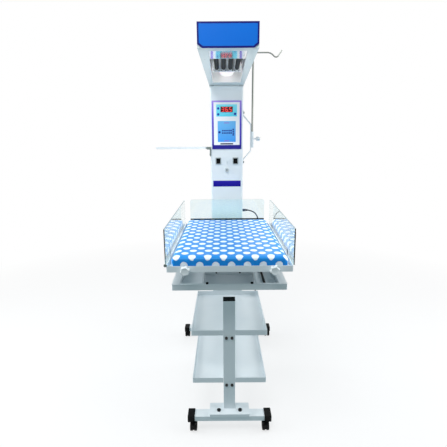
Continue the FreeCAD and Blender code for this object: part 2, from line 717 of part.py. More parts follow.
def column():
    foot = box("column_foot", "column_width", "column_depth", "column_foot_height")
    node(foot, "column_foot", "-column_width / 2", "column_front", "caster_height + bar_height")

    shell = body("column_shell")
    half = "column_width / 2"
    wall = "column_sheet"
    outline = [
        (f"-{half}", "0"), (half, "0"), (half, "column_depth"),
        (f"{half} - column_flange", "column_depth"),
        (f"{half} - column_flange", f"column_depth - {wall}"),
        (f"{half} - {wall}", f"column_depth - {wall}"), (f"{half} - {wall}", wall),
        (f"-{half} + {wall}", wall), (f"-{half} + {wall}", f"column_depth - {wall}"),
        (f"-{half} + column_flange", f"column_depth - {wall}"),
        (f"-{half} + column_flange", "column_depth"), (f"-{half}", "column_depth"),
    ]
    sheet_metal = pad(shell, sketch(shell, "XY_Plane", [outline]), f"column_top - {COLUMN_BOTTOM}")
    inner = f"{half} - {wall}"
    bend = round_edges(shell, sheet_metal, f"column_round - {wall}",
                       lambda edge: upright_at(edge, inner, wall))
    round_edges(shell, bend, "column_round", lambda edge: upright_at(edge, half, "0"))
    node(shell, "column_shell", y="column_front", z=COLUMN_BOTTOM)

    cover = box("column_back_cover", "column_width - 4", "column_sheet",
                f"column_top - {COLUMN_BOTTOM} - 4")
    node(cover, "column_back_cover", "2 - column_width / 2", "column_front + column_depth",
         f"{COLUMN_BOTTOM} + 2")

    plate = box("cap_plate", "column_width", "column_depth", "column_cap_height",
                f"-{half}", "column_front", "column_top")
    pin = rod("cap_pin", "swivel_radius", "column_cap_height + 40", "0",
              "column_front + column_depth / 2", "column_top")
    node(fuse("column_cap", [plate, pin]), "column_cap")


def display():
    frame = body("display_bezel")
    half = "display_width / 2"
    windows = [
        rectangle("-window_width / 2", "window_bottom - display_bottom", "window_width / 2",
                  "window_bottom - display_bottom + window_height"),
        rectangle("-keypad_width / 2", "keypad_bottom - display_bottom", "keypad_width / 2",
                  "keypad_bottom - display_bottom + keypad_height"),
    ]
    plate = pad(frame, sketch(frame, "XZ_Plane", [rectangle(f"-{half}", "0", half, "display_height")]),
                "display_thickness")
    round_edges(frame, plate, "3", lambda edge: runs_along(edge, 1))
    pocket(frame, sketch(frame, "XZ_Plane", windows), "display_thickness", back=True)
    node(frame, "display_bezel", y="column_front", z="display_bottom")
    for label, size in (("display_window", "window"), ("display_keypad", "keypad")):
        inset = box(label, f"{size}_width", "inset_thickness", f"{size}_height")
        node(inset, label, f"-{size}_width / 2", "column_front - inset_thickness", f"{size}_bottom")
    board = box("board_plate", "board_width", "2", "board_height", "-board_width / 2",
                "column_front + column_sheet + 10", "display_bottom + 30")
    posts = [rod(f"standoff_{name}_{level}", "3", "10", f"{side} * (board_width / 2 - 8)",
                 "column_front + column_sheet", f"display_bottom + 30 + {height}", "Y")
             for name, side in SIDES.items()
             for level, height in (("low", "8"), ("high", "board_height - 8"))]
    parts = [box("board_transformer", "60", "40", "50", "-30", "column_front + column_sheet + 12",
                 "display_bottom + 45"),
             box("board_heatsink", "70", "24", "40", "-35", "column_front + column_sheet + 12",
                 "display_bottom + 150")]
    node(fuse("control_board", [board, *posts, *parts]), "control_board")


def switches():
    frames = []
    for name, side in SIDES.items():
        frame = body(f"switch_frame_{name}")
        half = "switch_width / 2"
        outer = rectangle(f"-{half}", "0", half, "switch_height")
        inner = rectangle(f"-{half} + switch_rim", "switch_rim",
                          f"{half} - switch_rim", "switch_height - switch_rim")
        pad(frame, sketch(frame, "XZ_Plane", [outer, inner]), "switch_depth")
        frames.append(at(frame, f"{side} * switch_x", "column_front", "switch_bottom"))

        rocker = body(f"{name}_rocker")
        reach = "(switch_height / 2 - switch_rim - rocker_gap)"
        half_width = "(switch_width / 2 - switch_rim - rocker_gap)"
        slope = "rocker_throw / 2"
        profile = [("0", "0"), (f"-{reach} * cos({slope})", f"{reach} * sin({slope})"),
                   (f"-{reach} * cos({slope}) + 1", f"{reach} * sin({slope}) - 3.2"),
                   ("0", "-4"),
                   (f"{reach} * cos({slope}) - 1", f"{reach} * sin({slope}) - 3.2"),
                   (f"{reach} * cos({slope})", f"{reach} * sin({slope})")]
        turned = [(f"-({y})", x) for x, y in profile]
        pad(rocker, sketch(rocker, "YZ_Plane", [turned]), f"2 * {half_width}", both=True)
        rocker.Placement = FreeCAD.Placement(FreeCAD.Vector(), FreeCAD.Rotation(
            FreeCAD.Vector(1, 0, 0), amount("rocker_throw / 2")))
        node(rocker, f"{name}_rocker", f"{side} * switch_x", "column_front - switch_depth + 1",
             "switch_bottom + switch_height / 2")
    node(group("switch_frames", frames), "switch_frames")


def probe_socket():
    """Round socket for the skin probe, with a wire hook above it for the probe's lead."""
    flange = rod("probe_flange", "probe_radius + 3", "3", "0", "column_front - 3", "probe_z", "Y")
    barrel = rod("probe_barrel", "probe_radius", "probe_depth", "0",
                 "column_front - probe_depth", "probe_z", "Y")
    bore = rod("probe_bore", "probe_radius - 4", "probe_depth - 4", "0",
               "column_front - probe_depth", "probe_z", "Y")
    socket = cut("probe_body", fuse("probe_outside", [flange, barrel]), bore)
    hook = doc.addObject("Part::Feature", "probe_hook")
    points = [(0, 0, 0), (0, -15, 0), (0, -23, -15), (0, -34, -14), (0, -38, 2)]
    hook.Shape = swept_tube(points, 2.2)
    at(hook, y="column_front", z="probe_z + 56")
    node(group("probe_socket", [socket, hook]), "probe_socket")


def hood_block(name, inset):
    """The hood's outer form, or its inside at the given inset."""
    block = body(name)
    front = f"{inset}"
    back = f"column_front + column_depth + head_overhang - head_front - {inset}"
    taper = "column_front - head_front"
    plan = [(f"-head_width / 2 + {inset}", front), (f"head_width / 2 - {inset}", front),
            (f"head_rear_width / 2 - {inset}", taper), (f"head_rear_width / 2 - {inset}", back),
            (f"-head_rear_width / 2 + {inset}", back), (f"-head_rear_width / 2 + {inset}", taper)]
    bottom = f"head_rear_bottom + {inset}"
    upright = pad(block, sketch(block, "XY_Plane", [plan], bottom), f"head_top - head_rear_bottom - 2 * {inset}")
    if inset == "0":
        limit = amount(back)
        round_edges(block, upright, "14", lambda edge: runs_along(edge, 2)
                    and abs(edge.BoundBox.YMin - limit) < 0.01)
    slope = [("-1", f"{bottom} - 1"), (f"{taper}", f"{bottom} - 1"), (f"{taper}", bottom),
             ("0", f"head_front_bottom + {inset}"), ("-1", f"head_front_bottom + {inset}")]
    pocket(block, sketch(block, "YZ_Plane", [slope]), "head_width + 10", both=True)
    return block


def head():
    outside = hood_block("hood_outside", "0")
    inside = hood_block("hood_inside", "head_sheet")
    gap = "reflector_gap"
    opening = box("hood_opening", f"reflector_width + 2 * {gap}", f"reflector_length + 2 * {gap}",
                  "60", f"-reflector_width / 2 - {gap}", f"reflector_front - {gap} - head_front",
                  "head_rear_bottom - 1")
    pin_hole = rod("hood_pin_hole", "swivel_radius + 3", "10", "0",
                   "column_front + column_depth / 2 - head_front", "head_rear_bottom - 5")
    hood = cut("head_hood", outside, fuse("hood_voids", [inside, opening, pin_hole]))
    node(hood, "head_hood", y="head_front")

    fascia = body("head_fascia")
    half = "head_width / 2"
    outline = [(f"-{half}", "head_top"), (f"-{half}", "head_front_bottom + fascia_chamfer_z"),
               (f"-{half} + fascia_chamfer_x", "head_front_bottom"),
               (f"{half} - fascia_chamfer_x", "head_front_bottom"),
               (half, "head_front_bottom + fascia_chamfer_z"), (half, "head_top")]
    pad(fascia, sketch(fascia, "XZ_Plane", [outline]), "fascia_thickness")
    node(fascia, "head_fascia", y="head_front")

    plate = body("head_swivel_plate")
    width = "swivel_plate_width / 2"
    depth = "column_depth / 2 - 10"
    outline = rectangle(f"-{width}", f"-({depth})", width, depth)
    hole = ("0", "0", "swivel_radius + running_gap")
    pad(plate, sketch(plate, "XY_Plane", [outline, hole]),
        "head_rear_bottom - column_top - column_cap_height - swivel_gap")
    node(plate, "head_swivel_plate", y="column_front + column_depth / 2",
         z="column_top + column_cap_height + swivel_gap")

    reflector()
    heater()


def reflector():
    """Polished trough over the heater tubes, closed at both ends and open below."""
    trough = body("reflector")
    half = "reflector_width / 2"
    low = "head_rear_bottom"
    arch = [(f"-{half}", low), (half, low), (half, "reflector_top - 50"),
            (f"{half} - 12", "reflector_top - 22"), (f"{half} - 36", "reflector_top"),
            (f"-{half} + 36", "reflector_top"), (f"-{half} + 12", "reflector_top - 22"),
            (f"-{half}", "reflector_top - 50")]
    pad(trough, sketch(trough, "XZ_Plane", [arch]), "reflector_length", back=True)
    sheet_in = "reflector_sheet"
    inner = [(f"-{half} + {sheet_in}", f"{low} - 1"), (f"{half} - {sheet_in}", f"{low} - 1"),
             (f"{half} - {sheet_in}", "reflector_top - 50"),
             (f"{half} - 12 - {sheet_in}", "reflector_top - 22.5"),
             (f"{half} - 36.5", f"reflector_top - {sheet_in}"),
             (f"-{half} + 36.5", f"reflector_top - {sheet_in}"),
             (f"-{half} + 12 + {sheet_in}", "reflector_top - 22.5"),
             (f"-{half} + {sheet_in}", "reflector_top - 50")]
    hollow = sketch(trough, "XZ_Plane", [inner], f"-{sheet_in}")
    pocket(trough, hollow, f"reflector_length - 2 * {sheet_in}")
    fall = "(head_front_bottom - head_rear_bottom) / (column_front - head_front)"
    front_low = f"head_front_bottom - {fall} * (reflector_front - head_front)"
    back_low = f"{front_low} - {fall} * reflector_length"
    slope = [("-1", f"{low} - 2"), ("reflector_length + 1", f"{low} - 2"),
             ("reflector_length + 1", back_low), ("-1", front_low)]
    pocket(trough, sketch(trough, "YZ_Plane", [slope]), "reflector_width + 10", both=True)
    node(trough, "reflector", y="reflector_front")


def heater():
    """Heater tubes along the trough, their holders and wire guard, and the lamp behind them."""
    tubes = []
    for index in range(4):
        x = f"({index} - 1.5) * heater_pitch"
        tube = rod(f"heater_tube_{index}", "heater_radius", "heater_length", x,
                   "heater_front", "heater_z", "Y")
        pin = rod(f"heater_pin_{index}", "heater_end_radius", "heater_length + 2 * holder_reach", x,
                  "heater_front - holder_reach", "heater_z", "Y")
        tubes.append(fuse(f"heater_{index}", [tube, pin]))
    node(group("heater_tubes", tubes), "heater_tubes")

    guard_z = "heater_z - heater_radius - guard_gap"
    wires = [rod(f"guard_long_{index}", "guard_radius", "heater_length + 2 * holder_reach",
                 f"({index} - 2) * heater_pitch", "heater_front - holder_reach", guard_z, "Y")
             for index in range(5)]
    wires += [rod(f"guard_cross_{index}", "guard_radius", "reflector_width - 2 * reflector_sheet",
                  "-reflector_width / 2 + reflector_sheet",
                  f"heater_front + {index} * heater_length", guard_z, "X")
              for index in range(2)]
    holders = []
    for name, y in (("front", "heater_front - holder_reach"),
                    ("rear", "heater_front + heater_length + holder_reach - holder_sheet")):
        holder = body(f"heater_holder_{name}")
        shoulder = "2 * heater_pitch - 6"
        neck = "reflector_width / 2 - 38"
        outline = [(f"-({shoulder})", guard_z), (shoulder, guard_z), (shoulder, "reflector_top - 28"),
                   (neck, f"reflector_top - reflector_sheet"), (f"-({neck})", f"reflector_top - reflector_sheet"),
                   (f"-({shoulder})", "reflector_top - 28")]
        holes = [(f"({index} - 1.5) * heater_pitch", "heater_z", "heater_end_radius")
                 for index in range(4)]
        pad(holder, sketch(holder, "XZ_Plane", [outline, *holes]), "holder_sheet", back=True)
        holders.append(at(holder, y=y))
    node(fuse("heater_guard", [*wires, *holders]), "heater_guard")

    dome = body("lamp_dome")
    top = "reflector_top - reflector_sheet"
    low = f"{top} - lamp_depth"
    profile = [("0", low), ("lamp_radius * 0.5", f"{low} + lamp_radius * 0.05"),
               ("lamp_radius * 0.82", f"{low} + lamp_radius * 0.2"),
               ("lamp_radius", f"{low} + lamp_radius * 0.5"),
               ("lamp_radius * 0.9", f"{low} + lamp_radius * 0.75"),
               ("lamp_neck", f"{low} + lamp_radius * 0.9"), ("lamp_neck", top), ("0", top)]
    revolve(dome, sketch(dome, "XZ_Plane", [profile]))
    node(dome, "lamp_dome", y="reflector_front + reflector_length - lamp_rear_gap - lamp_radius")


TRAY_HALF = "(mattress_width / 2 + tray_side_gap + tray_sheet)"
TRAY_FRONT = "(-(tray_front_gap + tray_sheet))"
TRAY_BACK = "(mattress_length + tray_back_gap + tray_sheet)"
TRAY_TOP = "(tray_bottom + tray_height)"


def lug(part, x, base, middle_y, middle_z, hole, thickness):
    """A plate with a rounded end round the tilt pin, standing on or hanging from a sheet."""
    flat = rectangle(f"{middle_y} - lug_radius", base, f"{middle_y} + lug_radius", middle_z)
    pad(part, sketch(part, "YZ_Plane", [flat], x), thickness)
    pad(part, sketch(part, "YZ_Plane", [(middle_y, middle_z, "lug_radius")], x), thickness)
    pocket(part, sketch(part, "YZ_Plane", [(middle_y, middle_z, hole)], x), thickness, back=True)


def bassinet():
    tray = body("bassinet_tray")
    outline = rectangle(f"-{TRAY_HALF}", TRAY_FRONT, TRAY_HALF, TRAY_BACK)
    block = pad(tray, sketch(tray, "XY_Plane", [outline], "tray_bottom"), "tray_height")
    round_edges(tray, block, "6", lambda edge: runs_along(edge, 2))
    inside = rectangle(f"-{TRAY_HALF} + tray_sheet", f"{TRAY_FRONT} + tray_sheet",
                       f"{TRAY_HALF} - tray_sheet", f"{TRAY_BACK} - tray_sheet")
    pocket(tray, sketch(tray, "XY_Plane", [inside], TRAY_TOP), "tray_height - tray_sheet")
    for side in (-1, 1):
        x = "lug_x - turning_gap - lug_thickness" if side > 0 else "-(lug_x - turning_gap)"
        lug(tray, x, "tray_bottom", "tilt_y", "tilt_z", "tilt_pin_radius + running_gap",
            "lug_thickness")
    knob_z = "(tray_bottom + 11)"
    holes = [(f"{side} * bed_knob_x", knob_z, "shank_radius + running_gap") for side in (-1, 1)]
    pocket(tray, sketch(tray, "XZ_Plane", holes, f"-{TRAY_FRONT}"), "tray_sheet")
    node(tray, "bassinet_tray")

    cushion = body("mattress")
    outline = rectangle("-mattress_width / 2", "0", "mattress_width / 2", "mattress_length")
    block = pad(cushion, sketch(cushion, "XY_Plane", [outline]),
                "mattress_top - tray_bottom - tray_sheet - soft_gap")
    round_edges(cushion, block, "mattress_round", lambda edge: True)
    node(cushion, "mattress", z="tray_bottom + tray_sheet + soft_gap")

    for name, side in SIDES.items():
        knob = body(f"{name}_bed_knob")
        profile = [("0", "-tray_sheet - 8"), ("shank_radius", "-tray_sheet - 8"),
                   ("shank_radius", "turning_gap"), ("bed_knob_radius - 5", "turning_gap"),
                   ("bed_knob_radius", "4"), ("bed_knob_radius", "bed_knob_length - 9"),
                   ("bed_knob_radius - 4", "bed_knob_length - 3"),
                   ("bed_knob_radius - 11", "bed_knob_length"), ("0", "bed_knob_length")]
        revolve(knob, sketch(knob, "XZ_Plane", [profile]))
        knob.Placement = FreeCAD.Placement(FreeCAD.Vector(),
                                           FreeCAD.Rotation(FreeCAD.Vector(1, 0, 0), 90))
        node(knob, f"{name}_bed_knob", f"{side} * bed_knob_x", TRAY_FRONT, knob_z)


PANEL_IN = f"({TRAY_HALF} + panel_gap)"
PANEL_OUT = f"({PANEL_IN} + panel_thickness)"
PANEL_BOTTOM = f"({TRAY_TOP} + panel_lift)"
HINGE_X = f"({TRAY_HALF} + turning_gap + hinge_radius)"
HINGE_Z = f"({TRAY_TOP} - hinge_drop)"
HINGES = ("hinge_front", "hinge_back")


def side_panel(name, side):
    """Clear side panel with a turned-in front edge, and the clips that it hangs on."""
    panel = body(f"{name}_panel")
    plan = [(f"{side} * {PANEL_IN}", "panel_back"), (f"{side} * {PANEL_OUT}", "panel_back"),
            (f"{side} * {PANEL_OUT}", "panel_front"),
            (f"{side} * ({PANEL_IN} - panel_flange)", "panel_front"),
            (f"{side} * ({PANEL_IN} - panel_flange)", "panel_front + panel_thickness"),
            (f"{side} * {PANEL_IN}", "panel_front + panel_thickness")]
    block = pad(panel, sketch(panel, "XY_Plane", [plan], PANEL_BOTTOM), f"panel_top - {PANEL_BOTTOM}")
    top = amount("panel_top")
    back = amount("panel_back")
    round_edges(panel, block, "panel_corner", lambda edge: runs_along(edge, 0)
                and abs(edge.BoundBox.ZMin - top) < 0.01 and abs(edge.BoundBox.YMin - back) < 0.01)
    node(panel, f"{name}_panel")

    clips = []
    for hinge in HINGES:
        clip = body(f"{name}_clip_{hinge}")
        ring = sketch(clip, "XZ_Plane", [(HINGE_X, HINGE_Z, "hinge_radius")])
        pad(clip, ring, "hinge_length", back=True)
        leaf = rectangle(PANEL_OUT, HINGE_Z, f"{PANEL_OUT} + clip_sheet", f"{HINGE_Z} + clip_height")
        pad(clip, sketch(clip, "XZ_Plane", [leaf]), "hinge_length", back=True)
        bore = sketch(clip, "XZ_Plane", [(HINGE_X, HINGE_Z, "hinge_pin_radius + running_gap")])
        pocket(clip, bore, "hinge_length")
        if side < 0:
            clip.Placement = FreeCAD.Placement(FreeCAD.Vector(),
                                               FreeCAD.Rotation(FreeCAD.Vector(0, 0, 1), 180))
            at(clip, y=f"{hinge} + hinge_length")
        else:
            at(clip, y=hinge)
        clips.append(clip)
    node(group(f"{name}_panel_clips", clips), f"{name}_panel_clips")


def panel_hinges():
    """Knuckles and pins on the tray's sides, and the holders of the rear panel."""
    pieces = []
    for name, side in SIDES.items():
        for hinge in HINGES:
            start = f"{hinge} - hinge_length - 0.3"
            low_x = f"{TRAY_HALF}" if side > 0 else f"-{HINGE_X}"
            base = box(f"{name}_{hinge}_base", "turning_gap + hinge_radius", "hinge_length",
                       "2 * hinge_radius", low_x, start, f"{HINGE_Z} - hinge_radius")
            ring = rod(f"{name}_{hinge}_ring", "hinge_radius", "hinge_length",
                       f"{side} * {HINGE_X}", start, HINGE_Z, "Y")
            pin = rod(f"{name}_{hinge}_pin", "hinge_pin_radius", "2 * hinge_length + 0.3",
                      f"{side} * {HINGE_X}", start, HINGE_Z, "Y")
            pieces.append(fuse(f"{name}_{hinge}_knuckle", [base, ring, pin]))
        x = f"{side} * (rear_panel_width / 2 - 60) - 12"
        spacer = box(f"{name}_holder_spacer", "24", "panel_gap + panel_thickness", "20",
                     x, TRAY_BACK, f"{TRAY_TOP} - 20")
        leaf = box(f"{name}_holder_leaf", "24", "clip_sheet", "44", x,
                   f"{TRAY_BACK} + panel_gap + panel_thickness", f"{TRAY_TOP} - 20")
        pieces.append(fuse(f"{name}_holder", [spacer, leaf]))
    node(group("panel_hinges", pieces), "panel_hinges")


def rear_panel():
    panel = body("rear_panel")
    half = "rear_panel_width / 2"
    outline = rectangle(f"-{half}", PANEL_BOTTOM, half, "panel_top")
    block = pad(panel, sketch(panel, "XZ_Plane", [outline]), "panel_thickness", back=True)
    top = amount("panel_top")
    round_edges(panel, block, "panel_corner", lambda edge: runs_along(edge, 1)
                and abs(edge.BoundBox.ZMin - top) < 0.01)
    node(panel, "rear_panel", y=f"{TRAY_BACK} + panel_gap")


def bed_frame():
    """Sheet pan under the bassinet, with folded flanges, two ribs and the tilt lugs."""
    pan = body("frame_pan")
    half = "frame_width / 2"
    bottom = "(frame_top - frame_height)"
    back = "(frame_front + frame_length)"
    outline = rectangle(f"-{half}", "frame_front", half, back)
    block = pad(pan, sketch(pan, "XY_Plane", [outline], bottom), "frame_height")
    round_edges(pan, block, "5", lambda edge: runs_along(edge, 2))
    inner_x = f"({half} - frame_side_flange)"
    recess = rectangle(f"-{inner_x}", "frame_front + frame_front_flange", inner_x,
                       f"{back} - frame_front_flange")
    pocket(pan, sketch(pan, "XY_Plane", [recess], "frame_top"), "frame_height - frame_sheet")
    hollow_in = f"{inner_x} + frame_sheet"
    hollow_out = f"{half} - frame_sheet"
    hollows = [rectangle(hollow_in, "frame_front + frame_sheet", hollow_out, f"{back} - frame_sheet"),
               rectangle(f"-({hollow_out})", "frame_front + frame_sheet", f"-({hollow_in})",
                         f"{back} - frame_sheet")]
    pocket(pan, sketch(pan, "XY_Plane", hollows, bottom), "frame_height - frame_sheet", back=True)
    ribs = [rectangle(f"{side} * rib_x - rib_width / 2", "frame_front + frame_front_flange",
                      f"{side} * rib_x + rib_width / 2", f"{back} - frame_front_flange")
            for side in (-1, 1)]
    pad(pan, sketch(pan, "XY_Plane", ribs, f"{bottom} + frame_sheet"), "frame_height - frame_sheet - 2")
    wall = rectangle("-rib_x", "recess_back", "rib_x", "recess_back + frame_sheet")
    pad(pan, sketch(pan, "XY_Plane", [wall], f"{bottom} + frame_sheet"), "frame_height - frame_sheet - 4")
    for side in (-1, 1):
        x = "lug_x" if side > 0 else "-lug_x - lug_thickness"
        lug(pan, x, f"{bottom} + frame_sheet", "tilt_y", "tilt_z", "tilt_pin_radius", "lug_thickness")
    pin = rod("tilt_pin", "tilt_pin_radius", "2 * (lug_x + lug_thickness) + 8",
              "-lug_x - lug_thickness - 4", "tilt_y", "tilt_z", "X")
    node(group("bed_frame_weldment", [pan, pin]), "bed_frame")

    bumpers = [rod(f"bumper_{name}", "bumper_radius", "6", f"{side} * bumper_x",
                   "frame_front + frame_front_flange / 2", "frame_top")
               for name, side in SIDES.items()]
    guide = rod("guide_rod", "guide_radius", "frame_length - 60", "guide_x", "frame_front + 30",
                f"{bottom} + frame_sheet + guide_radius", "Y")
    node(group("bed_frame_fittings", [*bumpers, guide]), "bed_frame_fittings")

    bracket = body("bed_bracket")
    plate_back = "column_front"
    plate = rectangle("-bracket_width / 2", "bracket_bottom", "bracket_width / 2", bottom)
    pad(bracket, sketch(bracket, "XZ_Plane", [plate], f"-{plate_back}"), "bracket_plate")
    arm = [(plate_back, "bracket_bottom"), (plate_back, bottom), ("bracket_reach", bottom),
           ("bracket_reach", f"{bottom} - 24"), ("bracket_reach + 200", f"{bottom} - 40"),
           (f"{plate_back} - 60", "bracket_bottom")]
    for side in (-1, 1):
        x = f"{side} * (bracket_width / 2 - 12) - bracket_plate / 2"
        pad(bracket, sketch(bracket, "YZ_Plane", [arm], x), "bracket_plate")
    web = rectangle("-bracket_width / 2 + 12", "bracket_reach", "bracket_width / 2 - 12", plate_back)
    pad(bracket, sketch(bracket, "XY_Plane", [web], f"{bottom} - 4"), "4")
    node(bracket, "bed_bracket")


MONITOR_PIN_X = "(-column_width / 2 - monitor_pin_out)"
MONITOR_PIN_Z = "(monitor_top - monitor_pin_drop)"


def monitor_shelf():
    """Bracket on the column's left side and the folding tray that hinges on it."""
    plate = box("monitor_plate", "5", "2 * monitor_ear_y + 2 * monitor_ear", "monitor_bracket_height",
                "-column_width / 2 - 5", "monitor_y - monitor_ear_y - monitor_ear",
                "monitor_top - monitor_bracket_height")
    ears = []
    for name, side in SIDES.items():
        ear_y = f"monitor_y + {side} * (monitor_ear_y + monitor_ear / 2) - monitor_ear / 2"
        ring = rod(f"monitor_ring_{name}", "monitor_knuckle", "monitor_ear", MONITOR_PIN_X, ear_y,
                   MONITOR_PIN_Z, "Y")
        arm = box(f"monitor_arm_{name}", "monitor_pin_out", "monitor_ear", "2 * monitor_knuckle",
                  MONITOR_PIN_X, ear_y, f"{MONITOR_PIN_Z} - monitor_knuckle")
        ears += [ring, arm]
    pin = rod("monitor_pin", "monitor_pin_radius", "2 * monitor_ear_y + 2 * monitor_ear",
              MONITOR_PIN_X, "monitor_y - monitor_ear_y - monitor_ear", MONITOR_PIN_Z, "Y")
    node(fuse("monitor_bracket", [plate, *ears, pin]), "monitor_bracket")

    tray = body("monitor_tray")
    edge_x = f"{MONITOR_PIN_X} - monitor_knuckle - 1"
    half = "monitor_depth / 2"
    outline = rectangle(f"{edge_x} - monitor_width", f"-{half}", edge_x, half)
    block = pad(tray, sketch(tray, "XY_Plane", [outline], "monitor_top - monitor_height"), "monitor_height")
    round_edges(tray, block, "8", lambda edge: runs_along(edge, 2))
    inside = rectangle(f"{edge_x} - monitor_width + monitor_sheet", f"-{half} + monitor_sheet",
                       f"{edge_x} - monitor_sheet", f"{half} - monitor_sheet")
    pocket(tray, sketch(tray, "XY_Plane", [inside], "monitor_top - monitor_height"),
           "monitor_height - monitor_sheet", back=True)
    for side in (-1, 1):
        start = f"{side} * (monitor_ear_y - turning_gap - monitor_ear / 2) + monitor_ear / 2"
        leaf = [(f"{edge_x} - 10", "monitor_top - 4"), (f"{edge_x} - 10", "monitor_top"),
                (MONITOR_PIN_X, "monitor_top"), (MONITOR_PIN_X, "monitor_top - 4")]
        pad(tray, sketch(tray, "XZ_Plane", [leaf], f"-({start})"), "monitor_ear")
        ring = (MONITOR_PIN_X, MONITOR_PIN_Z, "monitor_knuckle")
        pad(tray, sketch(tray, "XZ_Plane", [ring], f"-({start})"), "monitor_ear")
        bore = (MONITOR_PIN_X, MONITOR_PIN_Z, "monitor_pin_radius + running_gap")
        pocket(tray, sketch(tray, "XZ_Plane", [bore], f"-({start}) + monitor_ear"), "monitor_ear")
    node(tray, "monitor_tray", y="monitor_y")


def infusion_pole():
    """Strap bracket with a sleeve, the pole with its hook and the clamp knob."""
    strap = body("pole_strap")
    side = "column_width / 2"
    out = "(pole_x - sleeve_radius + weld_depth)"
    thick = "strap_sheet"
    outline = [
        (side, "strap_top"), (f"{side} + {thick}", "strap_top"),
        (f"{side} + {thick}", "strap_top - strap_foot"),
        (out, "strap_top - strap_foot - strap_slant"),
        (out, "strap_bottom + strap_foot + strap_slant"),
        (f"{side} + {thick}", "strap_bottom + strap_foot"), (f"{side} + {thick}", "strap_bottom"),
        (side, "strap_bottom"), (side, f"strap_bottom + strap_foot + {thick}"),
        (f"{out} - {thick}", f"strap_bottom + strap_foot + strap_slant + {thick}"),
        (f"{out} - {thick}", f"strap_top - strap_foot - strap_slant - {thick}"),
        (side, f"strap_top - strap_foot - {thick}"),
    ]
    pad(strap, sketch(strap, "XZ_Plane", [outline]), "strap_width", both=True)
    at(strap, y="pole_y")
    sleeve = rod("pole_sleeve", "sleeve_radius", "sleeve_height", "pole_x", "pole_y", "sleeve_bottom")
    bore = rod("pole_bore", "pole_radius + running_gap", "sleeve_height + 2", "pole_x", "pole_y",
               "sleeve_bottom - 1")
    stem_hole = rod("pole_stem_hole", "shank_radius + running_gap", "sleeve_radius + 5", "pole_x",
                    "pole_y", "pole_knob_z", "X")
    holder = cut("pole_holder", fuse("pole_holder_solid", [strap, sleeve]),
                 fuse("pole_holder_holes", [bore, stem_hole]))
    node(holder, "pole_bracket")

    bar = rod("pole_bar", "pole_radius", "pole_top - 14 - pole_bottom", "pole_x", "pole_y", "pole_bottom")
    hook = doc.addObject("Part::Feature", "pole_hook")
    x = amount("pole_x")
    top = amount("pole_top")
    dip_x = amount("hook_dip_x")
    dip = amount("hook_dip")
    tip_x = amount("hook_tip_x")
    points = [(x, 0, top - 26), (x, 0, top), (dip_x - 34, 0, top), (dip_x, 0, top - dip),
              (tip_x, 0, top + 12)]
    hook.Shape = swept_tube(points, amount("hook_radius"), share=0.42)
    at(hook, y="pole_y")
    node(fuse("infusion_pole", [bar, hook]), "infusion_pole")

    knob = body("pole_knob")
    profile = [("0", "pole_radius + pole_knob_tip_gap"), ("shank_radius", "pole_radius + pole_knob_tip_gap"),
               ("shank_radius", "sleeve_radius + pole_knob_stem"),
               ("pole_knob_radius - 3", "sleeve_radius + pole_knob_stem"),
               ("pole_knob_radius", "sleeve_radius + pole_knob_stem + 4"),
               ("pole_knob_radius", "sleeve_radius + pole_knob_stem + pole_knob_length - 6"),
               ("pole_knob_radius - 5", "sleeve_radius + pole_knob_stem + pole_knob_length"),
               ("0", "sleeve_radius + pole_knob_stem + pole_knob_length")]
    revolve(knob, sketch(knob, "XZ_Plane", [profile]))
    knob.Placement = FreeCAD.Placement(FreeCAD.Vector(), FreeCAD.Rotation(FreeCAD.Vector(0, 1, 0), 90))
    node(knob, "pole_knob", "pole_x", "pole_y", "pole_knob_z")


def mains_lead():
    """Cable gland on the column's right side, the free lead, its coil on the floor and the plug."""
    gland = doc.addObject("Part::Cone", "strain_relief")
    gland.Placement = FreeCAD.Placement(FreeCAD.Vector(), FreeCAD.Rotation(FreeCAD.Vector(0, 1, 0), 90))
    bind(gland, Radius1="gland_radius", Radius2="cord_radius + 1.5", Height="gland_length")
    node(gland, "strain_relief", "column_width / 2", "gland_y", "gland_z")

    lead = doc.addObject("Part::Feature", "mains_cord")
    tube = swept_tube(CORD_ROUTE, amount("cord_radius"))
    tail_tube = swept_tube(TAIL_ROUTE, amount("cord_radius"))
    lead.Shape = Part.makeCompound([tube, tail_tube])
    node(lead, "mains_cord")

    coil = body("mains_coil")
    profile = [("coil_hole + 4", "0"), ("coil_radius - 4", "0"), ("coil_radius", "4"),
               ("coil_radius", "coil_height - 4"), ("coil_radius - 4", "coil_height"),
               ("coil_hole + 4", "coil_height"), ("coil_hole", "coil_height - 4"), ("coil_hole", "4")]
    revolve(coil, sketch(coil, "XZ_Plane", [profile]))
    node(coil, "mains_coil", "coil_x", "coil_y")

    grip = box("plug_grip", "38", "44", "30", "-86", "838", "0")
    pins = [rod(f"plug_pin_{index}", "3.5", "18", "-104", y, z, "X")
            for index, (y, z) in enumerate([("850", "10"), ("870", "10"), ("860", "22")])]
    node(fuse("mains_plug", [grip, *pins]), "mains_plug")


def write_parts():
    """Recompute, check every object and write one file for each sub-part."""
    doc.recompute()
    for item in doc.Objects:
        if "Invalid" in item.State or "Error" in item.State:
            raise ValueError(f"{item.Name}: {item.State}")
    os.makedirs("parts", exist_ok=True)
    for piece in nodes:
        shape = piece.Shape
        if shape.isNull() or not shape.isValid() or not shape.Solids:
            raise ValueError(f"{piece.Label} is not a valid solid")
        shape.exportStep(f"parts/{piece.Label}.step")
    extent = FreeCAD.BoundBox()
    for piece in nodes:
        if not piece.Label.startswith("mains_"):
            extent.add(piece.Shape.BoundBox)
    print(f"{len(nodes)} sub-parts, stand without its lead {extent}")


